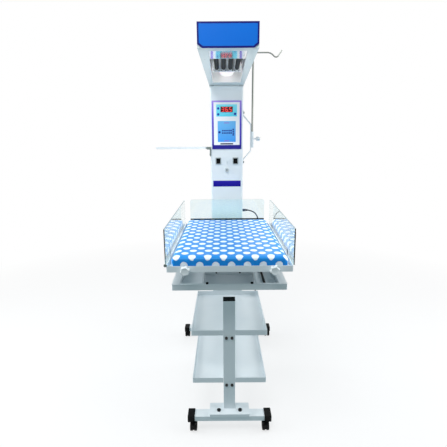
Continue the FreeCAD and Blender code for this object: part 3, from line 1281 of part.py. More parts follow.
fill_sheet()
crossbar("front_crossbar", "front_base_width", "front_bar_y")
crossbar("rear_crossbar", "rear_base_width", "rear_bar_y")
base_spine()
end_caps()
for caster_row in CASTERS:
    caster(*caster_row)
shelf_posts()
front_post_foot()
frame_bolts()
shelf("upper_shelf", "upper_shelf_floor")
shelf("lower_shelf", "lower_shelf_floor")
shelf_arms()
column()
display()
switches()
probe_socket()
head()
bassinet()
for side_name, hand in SIDES.items():
    side_panel(side_name, hand)
panel_hinges()
rear_panel()
bed_frame()
monitor_shelf()
infusion_pole()
mains_lead()
write_parts()
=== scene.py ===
# %% [markdown]
# Infant radiant warmer: the looks. This lesson adds the camera, the lamps, the finishes and the pieces that
# are too soft or too fine for CAD.

# %% Load the frame
import json
import math
import bpy
from mathutils import Matrix, Vector


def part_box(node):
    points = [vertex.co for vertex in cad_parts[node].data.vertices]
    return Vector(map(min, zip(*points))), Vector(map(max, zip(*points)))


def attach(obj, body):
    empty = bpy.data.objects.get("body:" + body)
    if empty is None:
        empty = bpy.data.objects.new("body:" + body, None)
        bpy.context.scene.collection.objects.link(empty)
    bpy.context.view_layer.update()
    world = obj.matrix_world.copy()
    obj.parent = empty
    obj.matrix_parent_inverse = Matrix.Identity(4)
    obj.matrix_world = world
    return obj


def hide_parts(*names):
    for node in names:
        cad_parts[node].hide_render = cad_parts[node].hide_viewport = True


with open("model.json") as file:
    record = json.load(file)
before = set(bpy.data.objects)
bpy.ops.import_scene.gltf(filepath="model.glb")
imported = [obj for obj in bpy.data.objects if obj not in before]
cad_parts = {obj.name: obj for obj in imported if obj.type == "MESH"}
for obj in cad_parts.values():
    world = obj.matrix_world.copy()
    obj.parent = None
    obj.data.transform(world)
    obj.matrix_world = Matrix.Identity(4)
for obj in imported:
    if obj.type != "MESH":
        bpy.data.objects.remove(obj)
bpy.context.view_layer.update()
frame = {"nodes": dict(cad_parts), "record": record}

scene = bpy.context.scene
scene.view_settings.view_transform = "Standard"
nodes = frame["nodes"]

# %% [markdown]
# The CAD was drawn in millimetres from the middle of the mattress's front edge, at floor level.
# One function turns such a point into the scene's metres, so a size can be read from a drawing as it stands.

# %% Points and lengths
MM = 0.001
BED_EDGE = Vector((46.4, -510.0, 0.0))


def point(x, y, z):
    """A point in millimetres from the middle of the mattress's front edge, on the floor."""
    return (Vector((x, y, z)) + BED_EDGE) * MM


def per_metre(size):
    """The scale of a pattern whose features are that many millimetres across."""
    return 1000.0 / size


# %% [markdown]
# Colours are written as a paint chart gives them, in sRGB hex, and one function
# makes them linear for the shader. A second function adds a node with its settings
# and links. A third opens a material and hands back the Object coordinates.

# %% Colours and nodes
def linear(chart):
    """An sRGB hex colour as linear red, green, blue and alpha."""
    parts = [int(chart[start:start + 2], 16) / 255 for start in (1, 3, 5)]
    return tuple(p / 12.92 if p <= 0.04045 else ((p + 0.055) / 1.055) ** 2.4 for p in parts) + (1.0,)


def add_node(tree, kind, inputs, **settings):
    """Add a shader node. Each input is a value or the socket that feeds it."""
    new = tree.nodes.new("ShaderNode" + kind)
    for name, value in settings.items():
        setattr(new, name, value)
    for key, value in inputs.items():
        if isinstance(value, bpy.types.NodeSocket):
            tree.links.new(value, new.inputs[key])
        else:
            new.inputs[key].default_value = value
    return new


def open_material(name):
    """A new material with nothing in it: the material, its tree and its Object coordinates."""
    material = bpy.data.materials.new(name)
    material.use_nodes = True
    material.node_tree.nodes.clear()
    place = add_node(material.node_tree, "TexCoord", {})
    return material, material.node_tree, place.outputs["Object"]


def close_material(tree, shader):
    add_node(tree, "OutputMaterial", {"Surface": shader.outputs[0]})


def paint(names, material):
    """Give CAD nodes a finish in place of the one they came with."""
    for name in names:
        nodes[name].data.materials.clear()
        nodes[name].data.materials.append(material)


made_of = {}
for part in frame["record"]["subparts"]:
    made_of.setdefault(part["material_slot"], []).append(part["node"])
print(len(made_of), "material slots")

# %% [markdown]
# The camera stands in front of the bed, a little above the monitor tray, and looks slightly down.
# Its place, pitch, yaw and roll came from lining up the model's corners with the photograph.

# %% Camera
CAMERA_PLACE = (0.0211, -1.7960, 1.4422)
LENS, SENSOR = 26.57, 36.0
PITCH, YAW, ROLL = (math.radians(angle) for angle in (13.17, 0.0424, -0.412))
ahead = Vector((math.sin(YAW) * math.cos(PITCH), math.cos(YAW) * math.cos(PITCH), -math.sin(PITCH)))
level = Vector((math.cos(YAW), -math.sin(YAW), 0.0))
upright = level.cross(ahead)
right = level * math.cos(ROLL) + upright * math.sin(ROLL)
up = upright * math.cos(ROLL) - level * math.sin(ROLL)
camera_data = bpy.data.cameras.new("camera")
camera_data.sensor_width = SENSOR
camera_data.lens = LENS
camera = bpy.data.objects.new("camera", camera_data)
scene.collection.objects.link(camera)
camera.matrix_world = Matrix.Translation(CAMERA_PLACE) @ Matrix((right, up, -ahead)).transposed().to_4x4()
scene.camera = camera
print("camera looks along", tuple(round(v, 3) for v in ahead))

# %% [markdown]
# The small pieces are modelled as by hand. Each starts as a primitive at
# its real size, is cut and rounded in edit mode, and then rides on the CAD
# body that carries it. These helpers hold the steps that every piece needs.

# %% Modelling helpers
def use_only(piece):
    bpy.ops.object.select_all(action="DESELECT")
    piece.select_set(True)
    bpy.context.view_layer.objects.active = piece


def start_box(name, low, high):
    """A block between two corners in millimetres."""
    low, high = point(*low), point(*high)
    bpy.ops.object.select_all(action="DESELECT")
    bpy.ops.mesh.primitive_cube_add(size=1, location=(low + high) / 2, scale=high - low)
    new = bpy.context.object
    new.name = name
    bpy.ops.object.transform_apply(location=True, rotation=True, scale=True)
    return new


def start_round(name, middle, radius, length, way=(0, 0, 1), sides=32):
    """A round bar: its middle, radius and length in millimetres, and the way that its axis points."""
    bpy.ops.object.select_all(action="DESELECT")
    bpy.ops.mesh.primitive_cylinder_add(vertices=sides, radius=radius * MM, depth=length * MM)
    new = bpy.context.object
    new.name = name
    turn = Vector(way).to_track_quat("Z", "Y").to_matrix().to_4x4()
    new.data.transform(Matrix.Translation(point(*middle)) @ turn)
    return new


def pick_faces(piece, test):
    """Go into edit mode with the faces picked whose middle, in millimetres, and normal pass the test."""
    use_only(piece)
    for item in (*piece.data.vertices, *piece.data.edges):
        item.select = False
    for face in piece.data.polygons:
        face.select = test(face.center / MM - BED_EDGE, face.normal)
    bpy.context.tool_settings.mesh_select_mode = (False, False, True)
    bpy.ops.object.mode_set(mode="EDIT")


def sink(piece, test, rim, depth):
    """Inset the picked faces by a rim and push them in, or out where the depth is negative."""
    pick_faces(piece, test)
    bpy.ops.mesh.inset(thickness=rim * MM, depth=0)
    bpy.ops.mesh.inset(thickness=0.02 * MM, depth=-depth * MM)
    bpy.ops.object.mode_set(mode="OBJECT")


def round_off(piece, width, segments=2, angle=30):
    bevel = piece.modifiers.new("rounding", "BEVEL")
    bevel.width = width * MM
    bevel.segments = segments
    bevel.limit_method = "ANGLE"
    bevel.angle_limit = math.radians(angle)
    use_only(piece)
    bpy.ops.object.modifier_apply(modifier=bevel.name)


def join_all(name, parts):
    bpy.ops.object.select_all(action="DESELECT")
    for part in parts:
        part.select_set(True)
    bpy.context.view_layer.objects.active = parts[0]
    if len(parts) > 1:
        bpy.ops.object.join()
    parts[0].name = name
    return parts[0]


def place_copies(name, model, spots):
    """Copy a model made at the bed's zero point to each spot (x, y, z) and way, and join the copies."""
    copies = []
    home = Matrix.Translation(-point(0, 0, 0))
    for spot, way in spots:
        twin = model.copy()
        twin.data = model.data.copy()
        scene.collection.objects.link(twin)
        turn = Vector(way).to_track_quat("Z", "Y").to_matrix().to_4x4()
        twin.data.transform(Matrix.Translation(point(*spot)) @ turn @ home)
        copies.append(twin)
    bpy.data.objects.remove(model)
    return join_all(name, copies)


def finish_piece(piece, body, material, crease=30):
    piece.data.materials.clear()
    piece.data.materials.append(material)
    use_only(piece)
    bpy.ops.object.shade_smooth_by_angle(angle=math.radians(crease))
    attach(piece, body)
    print(piece.name, len(piece.data.polygons), "faces on", body)


# %% [markdown]
# The mains lead is a round PVC cable, 8 mm thick and 3 m long, which is usual for
# such equipment. It leaves a gland on the column's side, hangs behind the bed, and
# most of it lies in a tied coil on the floor. A NURBS curve bends as a cable does,
# so the whole lead is one such curve, with the coil's turns as more of its points.

# %% Mains lead
LEAD_DIAMETER = 8.0
EXIT = (138, 880, 1027)
HANGING = [EXIT, (172, 881, 1021), (202, 885, 990), (216, 891, 936),
           (221, 899, 868), (217, 910, 788), (207, 922, 700), (200, 932, 604),
           (199, 938, 502), (205, 937, 400), (213, 930, 302), (218, 919, 212),
           (221, 905, 136), (223, 888, 76), (224, 866, 34)]
TAIL = [(120, 802, 4), (76, 818, 4), (34, 836, 4), (-6, 848, 4), (-48, 852, 4)]
COIL_MIDDLE = (170.0, 846.0)
COIL_TURNS = [(54, 12), (46, 12), (38, 12), (38, 4), (46, 4), (54, 4)]
POINTS_A_TURN = 16
PASSING = 5


def coil_points():
    """The coil's turns: a top layer inwards, then one back out. A turn's last points pass over to the next."""
    inside = math.cos(math.pi / POINTS_A_TURN)
    found = []
    extra = POINTS_A_TURN // 4 + 1
    for step in range(POINTS_A_TURN * len(COIL_TURNS) + extra):
        turn, part = divmod(step, POINTS_A_TURN)
        turn = min(turn, len(COIL_TURNS) - 1)
        following = COIL_TURNS[min(turn + 1, len(COIL_TURNS) - 1)]
        over = max(0.0, (part - POINTS_A_TURN + PASSING) / PASSING)
        share = over if step < POINTS_A_TURN * len(COIL_TURNS) else 0.0
        radius, height = (a + (b - a) * share for a, b in zip(COIL_TURNS[turn], following))
        angle = -2 * math.pi * step / POINTS_A_TURN
        found.append((COIL_MIDDLE[0] + radius / inside * math.cos(angle),
                      COIL_MIDDLE[1] + radius / inside * math.sin(angle), height))
    return found


route = [point(*p) for p in HANGING + coil_points() + TAIL]
lead_curve = bpy.data.curves.new("mains_lead", "CURVE")
lead_curve.dimensions = "3D"
spline = lead_curve.splines.new("NURBS")
spline.points.add(len(route) - 1)
for target, place in zip(spline.points, route):
    target.co = (*place, 1.0)
    target.radius = LEAD_DIAMETER / 2 * MM
spline.order_u = 3
spline.use_endpoint_u = True
spline.resolution_u = 6
lead_curve.bevel_depth = 1.0
lead_curve.bevel_resolution = 4
lead_curve.use_fill_caps = True
mains_lead = bpy.data.objects.new("mains_lead", lead_curve)
scene.collection.objects.link(mains_lead)
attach(mains_lead, "stand")
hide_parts("mains_cord", "mains_coil")
# A flat band holds the coil's turns together. It is a block whose two ends are joined through its middle.
coil_tie = start_box("coil_tie", (110.4, 841, 0.0), (137.6, 851, 17.4))
pick_faces(coil_tie, lambda middle, normal: abs(normal.y) > 0.9)
bpy.ops.mesh.inset(thickness=1.2 * MM, depth=0)
bpy.ops.mesh.bridge_edge_loops()
bpy.ops.object.mode_set(mode="OBJECT")
round_off(coil_tie, 0.4)
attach(coil_tie, "stand")
print("lead drawn with", len(route), "points")

# %% [markdown]
# A studio for white goods is mostly soft light: a pale world, a lamp overhead, and others
# beside and behind. The side lamps reach the shelves under the bed, and a weak one above the
# mattress lights the head from below. The floor and the world show as white to the camera
# and in reflections, without more light on the object. The floor that lights the object is a
# bluish grey, so upright faces near it stay darker than level ones, as in the photograph.

# %% World, floor and lamps
NEAR, FAR = 0.8, 3.5
NEAR_SHARE = 0.72


def ray_that_shows(tree):
    """1 for a ray from the camera, a reflection or a clear sheet, and 0 for one that lights the object."""
    rays = add_node(tree, "LightPath", {})
    shows = rays.outputs["Is Camera Ray"]
    for kind in ("Is Glossy Ray", "Is Transmission Ray"):
        shows = add_node(tree, "Math", {0: shows, 1: rays.outputs[kind]}, operation="MAXIMUM").outputs[0]
    return shows


world = bpy.data.worlds.new("studio")
scene.world = world
world.use_nodes = True
tree = world.node_tree
tree.nodes.clear()
pale = add_node(tree, "Background", {"Color": linear("#DCF0F6"), "Strength": 0.30})
white = add_node(tree, "Background", {"Color": linear("#FFFFFF"), "Strength": 1.0})
sky = add_node(tree, "MixShader", {0: ray_that_shows(tree), 1: pale.outputs[0], 2: white.outputs[0]})
add_node(tree, "OutputWorld", {"Surface": sky.outputs[0]})

bpy.ops.object.select_all(action="DESELECT")
bpy.ops.mesh.primitive_plane_add(size=30, location=(0, 0, 0))
floor = bpy.context.object
floor.name = "studio_floor"
floor_paint, tree, place = open_material("studio_floor_paint")
shows = ray_that_shows(tree)
away = add_node(tree, "VectorMath", {0: place}, operation="LENGTH")
fade = add_node(tree, "MapRange", {"Value": away.outputs["Value"], 1: NEAR, 2: FAR, 3: NEAR_SHARE, 4: 1.0})
share = add_node(tree, "Math", {0: shows, 1: fade.outputs[0]}, operation="MULTIPLY")
tone = add_node(tree, "Mix", {0: shows, 6: linear("#7F9A9F"), 7: linear("#F4F6F8")}, data_type="RGBA")
lit = add_node(tree, "BsdfDiffuse", {"Color": tone.outputs[2]})
glow = add_node(tree, "Emission", {"Color": linear("#FFFFFF"), "Strength": 1.0})
backdrop = add_node(tree, "MixShader", {0: share.outputs[0], 1: lit.outputs[0], 2: glow.outputs[0]})
close_material(tree, backdrop)
floor.data.materials.append(floor_paint)


def add_lamp(name, place, aim, size, watts):
    """A square soft box at a place, turned to the point that it lights."""
    lamp = bpy.data.lights.new(name, "AREA")
    lamp.size = size
    lamp.energy = watts
    new = bpy.data.objects.new(name, lamp)
    scene.collection.objects.link(new)
    new.visible_camera = False
    way = Vector(aim) - Vector(place)
    new.matrix_world = Matrix.Translation(place) @ way.to_track_quat("-Z", "Y").to_matrix().to_4x4()


add_lamp("key_lamp", (-0.5, -1.4, 3.1), (0.05, 0.2, 1.3), 1.2, 34)
add_lamp("left_lamp", (-2.4, -0.1, 1.7), (0.05, -0.1, 0.6), 1.6, 44)
add_lamp("right_lamp", (2.5, -0.2, 1.7), (0.05, -0.1, 0.6), 1.6, 41)
add_lamp("head_lamp", (0.05, -0.2, 1.5), (0.05, 0.29, 1.8), 0.5, 0.8)
add_lamp("back_lamp", (0.6, 2.6, 3.2), (0.0, 0.1, 1.1), 2.0, 22)
print(len(bpy.data.lights), "lamps")

# %% [markdown]
# Nearly all the steel is powder coated: white dust is baked on to the sheet and melts to a skin.
# That skin has a fine orange peel, rounds every edge a little, and its gloss drifts from place to place.
# The peel is about 2 mm across on the real thing, and is drawn so.

# %% Powder coat
def powder_coat(name, light, shade, rough):
    """A baked powder skin on steel, in two close tints."""
    material, tree, place = open_material(name)
    drift = add_node(tree, "TexNoise", {"Vector": place, "Scale": per_metre(140), "Detail": 2.0})
    tint = add_node(tree, "Mix", {0: drift.outputs[0], 6: linear(light), 7: linear(shade)}, data_type="RGBA")
    peel = add_node(tree, "TexNoise", {"Vector": place, "Scale": per_metre(2.0), "Detail": 1.0})
    corner = add_node(tree, "Bevel", {"Radius": 0.8 * MM}, samples=3)
    skin = add_node(tree, "Bump", {"Height": peel.outputs[0], "Strength": 0.25, "Distance": 0.05 * MM,
                                   "Normal": corner.outputs[0]})
    gloss = add_node(tree, "MapRange", {"Value": drift.outputs[0], 3: rough - 0.06, 4: rough + 0.06})
    close_material(tree, add_node(tree, "BsdfPrincipled", {
        "Base Color": tint.outputs[2], "Roughness": gloss.outputs[0], "Normal": skin.outputs[0], "IOR": 1.5}))
    return material


white_coat = powder_coat("white_powder_coat", "#EBF1F4", "#DFE8ED", 0.36)
paint(made_of["white_powder_coat"], white_coat)
gloss_coat = powder_coat("gloss_white_powder_coat", "#E4EDEE", "#D3E0E1", 0.18)
paint(["head_hood"], gloss_coat)
print("powder coat on", len(made_of["white_powder_coat"]), "nodes")

# %% [markdown]
# Caps, switches and castors are black ABS and nylon, moulded against a spark-eroded tool. That
# leaves a fine grain, drawn here at 0.8 mm, and an even roughness. White plastics, PVC, plated
# fittings and the circuit board are drawn the same way, each with its own grain and shine.

# %% Plastics, PVC and plated fittings
def moulded(name, light, shade, grain, rough, depth, shine=0.12):
    """A moulded or extruded surface with a fine grain of that size in millimetres."""
    material, tree, place = open_material(name)
    speck = add_node(tree, "TexNoise", {"Vector": place, "Scale": per_metre(grain), "Detail": 3.0})
    drift = add_node(tree, "TexNoise", {"Vector": place, "Scale": per_metre(30), "Detail": 2.0})
    tint = add_node(tree, "Mix", {0: drift.outputs[0], 6: linear(light), 7: linear(shade)}, data_type="RGBA")
    skin = add_node(tree, "Bump", {"Height": speck.outputs[0], "Strength": 0.35, "Distance": depth * MM})
    gloss = add_node(tree, "MapRange", {"Value": drift.outputs[0], 3: rough - 0.05, 4: rough + 0.05})
    close_material(tree, add_node(tree, "BsdfPrincipled", {
        "Base Color": tint.outputs[2], "Roughness": gloss.outputs[0], "Normal": skin.outputs[0], "IOR": 1.5,
        "Specular IOR Level": shine}))
    return material


black_abs = moulded("black_abs_moulded", "#0B0D0E", "#060708", 0.8, 0.45, 0.05, 0.08)
tread_nylon = moulded("castor_tread_nylon", "#0E1011", "#070809", 1.2, 0.38, 0.04)
soft_pvc = moulded("mains_lead_pvc", "#15171A", "#0D0E10", 1.5, 0.5, 0.04)
white_abs = moulded("white_abs_moulded", "#EFF4F5", "#E4EBEE", 1.0, 0.28, 0.02, 0.5)
zinc = moulded("black_zinc_plate", "#1C1E20", "#0F1112", 0.6, 0.32, 0.02, 0.4)
board = moulded("green_solder_resist", "#1E6B45", "#17553A", 1.0, 0.3, 0.02)
paint(made_of["black_plastic"], black_abs)
paint(made_of["caster_tread"], tread_nylon)
paint(made_of["black_pvc"], soft_pvc)
paint(made_of["white_plastic"], white_abs)
paint(made_of["black_zinc"], zinc)
paint(made_of["circuit_board"], board)
grey_zinc = moulded("grey_zinc_plate", "#77847F", "#5F6C68", 3.0, 0.35, 0.02, 0.6)
pale_abs = moulded("pale_grey_abs_moulded", "#D4DCDE", "#C6CFD2", 1.0, 0.4, 0.02)
frame_abs = moulded("grey_abs_switch_frame", "#AAB4B6", "#9BA6A8", 1.0, 0.4, 0.02)
paint(["monitor_bracket"], grey_zinc)
paint(["probe_socket"], pale_abs)
paint(["switch_frames"], frame_abs)
lead_curve.materials.append(soft_pvc)
coil_tie.data.materials.append(moulded("woven_nylon_tie", "#17191C", "#0D0F11", 1.2, 0.7, 0.1))
print("moulded finishes done")

# %% [markdown]
# The guards are cast acrylic sheet, 4 mm thick. Light crosses the faces almost
# unchanged, but it runs along inside the sheet and comes out at the sawn edges, which
# look darker and frosted. Lamp light passes the faces too. The object-space normal tells
# a face from an edge: the edges are the faces that don't look along the sheet's normal.

# %% Clear acrylic
TURNED_IN = 7.0


def acrylic(name, thin_axis):
    """Clear sheet whose thickness runs along one axis, 0 for X or 1 for Y. Its front may be turned in."""
    material, tree, place = open_material(name)
    facing = add_node(tree, "TexCoord", {})
    parts = add_node(tree, "SeparateXYZ", {0: facing.outputs["Normal"]})
    across = add_node(tree, "Math", {0: parts.outputs[thin_axis]}, operation="ABSOLUTE")
    depth = add_node(tree, "SeparateXYZ", {0: place})
    flange = add_node(tree, "Math", {0: depth.outputs["Y"], 1: point(0, TURNED_IN, 0).y},
                      operation="LESS_THAN")
    ahead_of = add_node(tree, "Math", {0: parts.outputs["Y"]}, operation="ABSOLUTE")
    turned = add_node(tree, "Math", {0: flange.outputs[0], 1: ahead_of.outputs[0]}, operation="MULTIPLY")
    widest = add_node(tree, "Math", {0: across.outputs[0], 1: turned.outputs[0]}, operation="MAXIMUM")
    face = add_node(tree, "Math", {0: widest.outputs[0], 1: 0.7}, operation="GREATER_THAN")
    smear = add_node(tree, "TexNoise", {"Vector": place, "Scale": per_metre(60), "Detail": 3.0})
    gloss = add_node(tree, "MapRange", {"Value": smear.outputs[0], 3: 0.0, 4: 0.06})
    tint = add_node(tree, "Mix", {0: smear.outputs[0], 6: linear("#F1F9F9"), 7: linear("#E8F4F5")},
                    data_type="RGBA")
    sheet = add_node(tree, "BsdfPrincipled", {"Base Color": tint.outputs[2], "Roughness": gloss.outputs[0],
                                              "IOR": 1.49, "Transmission Weight": 1.0})
    frost = add_node(tree, "Mix", {0: smear.outputs[0], 6: linear("#8FAEB2"), 7: linear("#6F929A")},
                     data_type="RGBA")
    sawn = add_node(tree, "BsdfPrincipled", {"Base Color": frost.outputs[2], "Roughness": 0.35, "IOR": 1.49,
                                             "Transmission Weight": 0.35})
    solid = add_node(tree, "MixShader", {0: face.outputs[0], 1: sawn.outputs[0], 2: sheet.outputs[0]})
    rays = add_node(tree, "LightPath", {})
    passing = add_node(tree, "Math", {0: rays.outputs["Is Shadow Ray"], 1: face.outputs[0]},
                       operation="MULTIPLY")
    clear = add_node(tree, "BsdfTransparent", {"Color": linear("#EAF5F5")})
    close_material(tree, add_node(tree, "MixShader", {0: passing.outputs[0], 1: solid.outputs[0],
                                                      2: clear.outputs[0]}))
    return material


paint(["left_panel", "right_panel"], acrylic("cast_acrylic_side", 0))
paint(["rear_panel"], acrylic("cast_acrylic_rear", 1))
print("three guards of clear sheet")

# %% [markdown]
# The reflector is bright-rolled aluminium, polished along its length, so highlights smear across the rolling
# lines. Chrome wire and stainless clips are made the same way, with less or more of that brushing.

# %% Bright metals
def bright_metal(name, tint, shade, line, rough, along):
    """Metal with fine lines of that width in millimetres, stretched along one axis."""
    material, tree, place = open_material(name)
    stretch = [per_metre(line)] * 3
    stretch[along] = per_metre(line * 60)
    lines_at = add_node(tree, "Mapping", {"Vector": place, "Scale": stretch})
    lines = add_node(tree, "TexNoise", {"Vector": lines_at.outputs[0], "Scale": 1.0, "Detail": 3.0})
    colour = add_node(tree, "Mix", {0: lines.outputs[0], 6: linear(tint), 7: linear(shade)}, data_type="RGBA")
    gloss = add_node(tree, "MapRange", {"Value": lines.outputs[0], 3: rough * 0.7, 4: rough * 1.3})
    skin = add_node(tree, "Bump", {"Height": lines.outputs[0], "Strength": 0.15, "Distance": 0.02 * MM})
    close_material(tree, add_node(tree, "BsdfPrincipled", {
        "Base Color": colour.outputs[2], "Metallic": 1.0, "Roughness": gloss.outputs[0],
        "Normal": skin.outputs[0]}))
    return material


rolled = bright_metal("bright_rolled_aluminium", "#F8FAFA", "#EEF2F3", 1.2, 0.42, 1)
paint(made_of["polished_aluminium"], rolled)
paint(made_of["chrome_wire"], bright_metal("chrome_plated_wire", "#E3E6E9", "#D4D8DC", 0.8, 0.14, 1))
paint(["infusion_pole"], bright_metal("satin_stainless_rod", "#8C908C", "#757A76", 0.8, 0.3, 2))
steel = bright_metal("brushed_stainless", "#C9CDD1", "#B4B9BE", 0.6, 0.28, 2)
paint(made_of["clip_steel"], steel)

# %% [markdown]
# The radiant tubes are quartz over a dark wound element, glazed almost black when cold. Each has faint rings
# where the winding lies, 5 mm apart. Behind them hangs the lamp's dome of opal acrylic, and it is lit, so it
# gives off a little light of its own.

# %% Heater tubes and lamp
glazed, tree, place = open_material("dark_quartz_heater")
winding = add_node(tree, "TexWave", {"Vector": place, "Scale": per_metre(5) / 20, "Distortion": 0.4},
                   wave_type="BANDS", bands_direction="Y")
tint = add_node(tree, "Mix", {0: winding.outputs[0], 6: linear("#0A1013"), 7: linear("#151D21")},
                data_type="RGBA")
ripple = add_node(tree, "Bump", {"Height": winding.outputs[0], "Strength": 0.3, "Distance": 0.2 * MM})
close_material(tree, add_node(tree, "BsdfPrincipled", {
    "Base Color": tint.outputs[2], "Roughness": 0.55, "Normal": ripple.outputs[0],
    "Specular IOR Level": 0.15}))
paint(made_of["heater_ceramic"], glazed)

opal, tree, place = open_material("opal_acrylic_diffuser")
cloud = add_node(tree, "TexNoise", {"Vector": place, "Scale": per_metre(12), "Detail": 2.0})
tint = add_node(tree, "Mix", {0: cloud.outputs[0], 6: linear("#F6EFF0"), 7: linear("#EADFE3")},
                data_type="RGBA")
close_material(tree, add_node(tree, "BsdfPrincipled", {
    "Base Color": tint.outputs[2], "Roughness": 0.35, "Subsurface Weight": 0.3,
    "Emission Color": linear("#FFF6F2"), "Emission Strength": 0.5}))
paint(made_of["lamp_diffuser"], opal)

# %% [markdown]
# The front panel and the display are printed films behind clear lacquer: flat
# colour, a crisp border, a soft gloss. The print follows the panel's edges,
# so the shader measures how far each point is inside the panel's rectangle.

# %% Distance from a panel's edge
def rim_distance(tree, place, low, high):
    """How far a point is inside an upright rectangle, in metres. The corners are (x, z) in millimetres."""
    middle = point((low[0] + high[0]) / 2, 0, (low[1] + high[1]) / 2)
    half = ((high[0] - low[0]) / 2 * MM, 1.0, (high[1] - low[1]) / 2 * MM)
    off = add_node(tree, "VectorMath", {0: place, 1: (middle.x, 0.0, middle.z)}, operation="SUBTRACT")
    size = add_node(tree, "VectorMath", {0: off.outputs[0]}, operation="ABSOLUTE")
    left_over = add_node(tree, "VectorMath", {0: half, 1: size.outputs[0]}, operation="SUBTRACT")
    parts = add_node(tree, "SeparateXYZ", {0: left_over.outputs[0]})
    nearer = add_node(tree, "Math", {0: parts.outputs["X"], 1: parts.outputs["Z"]}, operation="MINIMUM")
    return nearer.outputs[0]


def close_film(tree, place, colour, rough):
    """Finish a printed film: faint cloudiness in its gloss and a skin that isn't quite flat."""
    cloud = add_node(tree, "TexNoise", {"Vector": place, "Scale": per_metre(25), "Detail": 2.0})
    gloss = add_node(tree, "MapRange", {"Value": cloud.outputs[0], 3: rough - 0.04, 4: rough + 0.04})
    skin = add_node(tree, "Bump", {"Height": cloud.outputs[0], "Strength": 0.1, "Distance": 0.2 * MM})
    close_material(tree, add_node(tree, "BsdfPrincipled", {
        "Base Color": colour, "Roughness": gloss.outputs[0], "Normal": skin.outputs[0], "IOR": 1.5,
        "Specular IOR Level": 0.22}))


# %% [markdown]
# The blue panel has a navy border 7 mm wide, which also follows the two corners cut off at its foot. A cut
# corner is slanted, so a dot product gives the distance from it, and the nearest edge of all sets the border.

# %% Front panel film
FASCIA = ((-126.25, 1831), (126.25, 1928))
FASCIA_CUT = (21.0, 16.0)
BORDER = 7.3
film, tree, place = open_material("blue_lacquered_film")
edge = rim_distance(tree, place, *FASCIA)
centred = add_node(tree, "VectorMath", {0: place, 1: (BED_EDGE.x * MM, 0.0, FASCIA[0][1] * MM)},
                   operation="SUBTRACT")
sides = add_node(tree, "VectorMath", {0: centred.outputs[0]}, operation="ABSOLUTE")
cut_length = math.hypot(*FASCIA_CUT)
corner_way = add_node(tree, "VectorMath", {
    0: sides.outputs[0], 1: (-FASCIA_CUT[1] / cut_length, 0.0, FASCIA_CUT[0] / cut_length)},
    operation="DOT_PRODUCT")
corner = add_node(tree, "Math", {0: corner_way.outputs["Value"],
                                 1: (FASCIA[1][0] * FASCIA_CUT[1] - FASCIA_CUT[0] * FASCIA_CUT[1])
                                 / cut_length * MM})
nearest_edge = add_node(tree, "Math", {0: edge, 1: corner.outputs[0]}, operation="MINIMUM")
border = add_node(tree, "MapRange", {"Value": nearest_edge.outputs[0], 1: (BORDER - 0.5) * MM,
                                     2: (BORDER + 0.5) * MM})
flow = add_node(tree, "TexNoise", {"Vector": place, "Scale": per_metre(160), "Detail": 1.0})
azure = add_node(tree, "Mix", {0: flow.outputs[0], 6: linear("#0478E6"), 7: linear("#006CDA")},
                 data_type="RGBA")
tint = add_node(tree, "Mix", {0: border.outputs[0], 6: linear("#020C74"), 7: azure.outputs[2]},
                data_type="RGBA")
close_film(tree, place, tint.outputs[2], 0.3)
paint(made_of["fascia_blue"], film)

# %% [markdown]
# The display frame's print fades from navy at its foot to pale violet at its
# top, round a white field with one dark bar. A colour ramp over the height
# gives the fade, and the edge distance cuts the field and the bar out of it.

# %% Display frame film
WHITE_FIELD = ((-78.5, 1450), (78.5, 1699))
DARK_BAR = ((-39, 1453), (39, 1461))
FOOT, TOP = 1425, 1708
frame_film, tree, place = open_material("display_frame_film")
edge = rim_distance(tree, place, *WHITE_FIELD)
inside = add_node(tree, "MapRange", {"Value": edge, 1: -0.4 * MM, 2: 0.4 * MM})
height = add_node(tree, "SeparateXYZ", {0: place})
fade = add_node(tree, "ValToRGB", {0: add_node(tree, "MapRange", {
    "Value": height.outputs["Z"], 1: FOOT * MM, 2: TOP * MM}).outputs[0]})
stops = fade.color_ramp.elements
stops[0].position, stops[0].color = 0.085, linear("#0C0088")
stops[1].position, stops[1].color = 1.0, linear("#A892EA")
middle_stop = stops.new(0.10)
middle_stop.color = linear("#2C16A2")
upper_stop = stops.new(0.62)
upper_stop.color = linear("#6050CC")
bar = rim_distance(tree, place, *DARK_BAR)
bar_mask = add_node(tree, "MapRange", {"Value": bar, 1: -0.3 * MM, 2: 0.3 * MM})
paper = add_node(tree, "Mix", {0: bar_mask.outputs[0], 6: linear("#F6F9FD"), 7: linear("#101042")},
                 data_type="RGBA")
tint = add_node(tree, "Mix", {0: inside.outputs[0], 6: fade.outputs[0], 7: paper.outputs[2]},
                data_type="RGBA")
close_film(tree, place, tint.outputs[2], 0.32)
paint(made_of["bezel_plastic"], frame_film)

# %% [markdown]
# The window and the keypad are thin films whose tint runs a little from foot to top, so one function makes
# them all. The figures behind the window are lit, so their material gives off light of its own.

# %% Window and keypad films
def shaded_film(name, low_colour, high_colour, low_z, high_z, rough):
    """A film whose colour runs from one tint at its foot to another at its top."""
    material, tree, place = open_material(name)
    height = add_node(tree, "SeparateXYZ", {0: place})
    share = add_node(tree, "MapRange", {"Value": height.outputs["Z"], 1: low_z * MM, 2: high_z * MM})
    tint = add_node(tree, "Mix", {0: share.outputs[0], 6: linear(low_colour), 7: linear(high_colour)},
                    data_type="RGBA")
    close_film(tree, place, tint.outputs[2], rough)
    return material


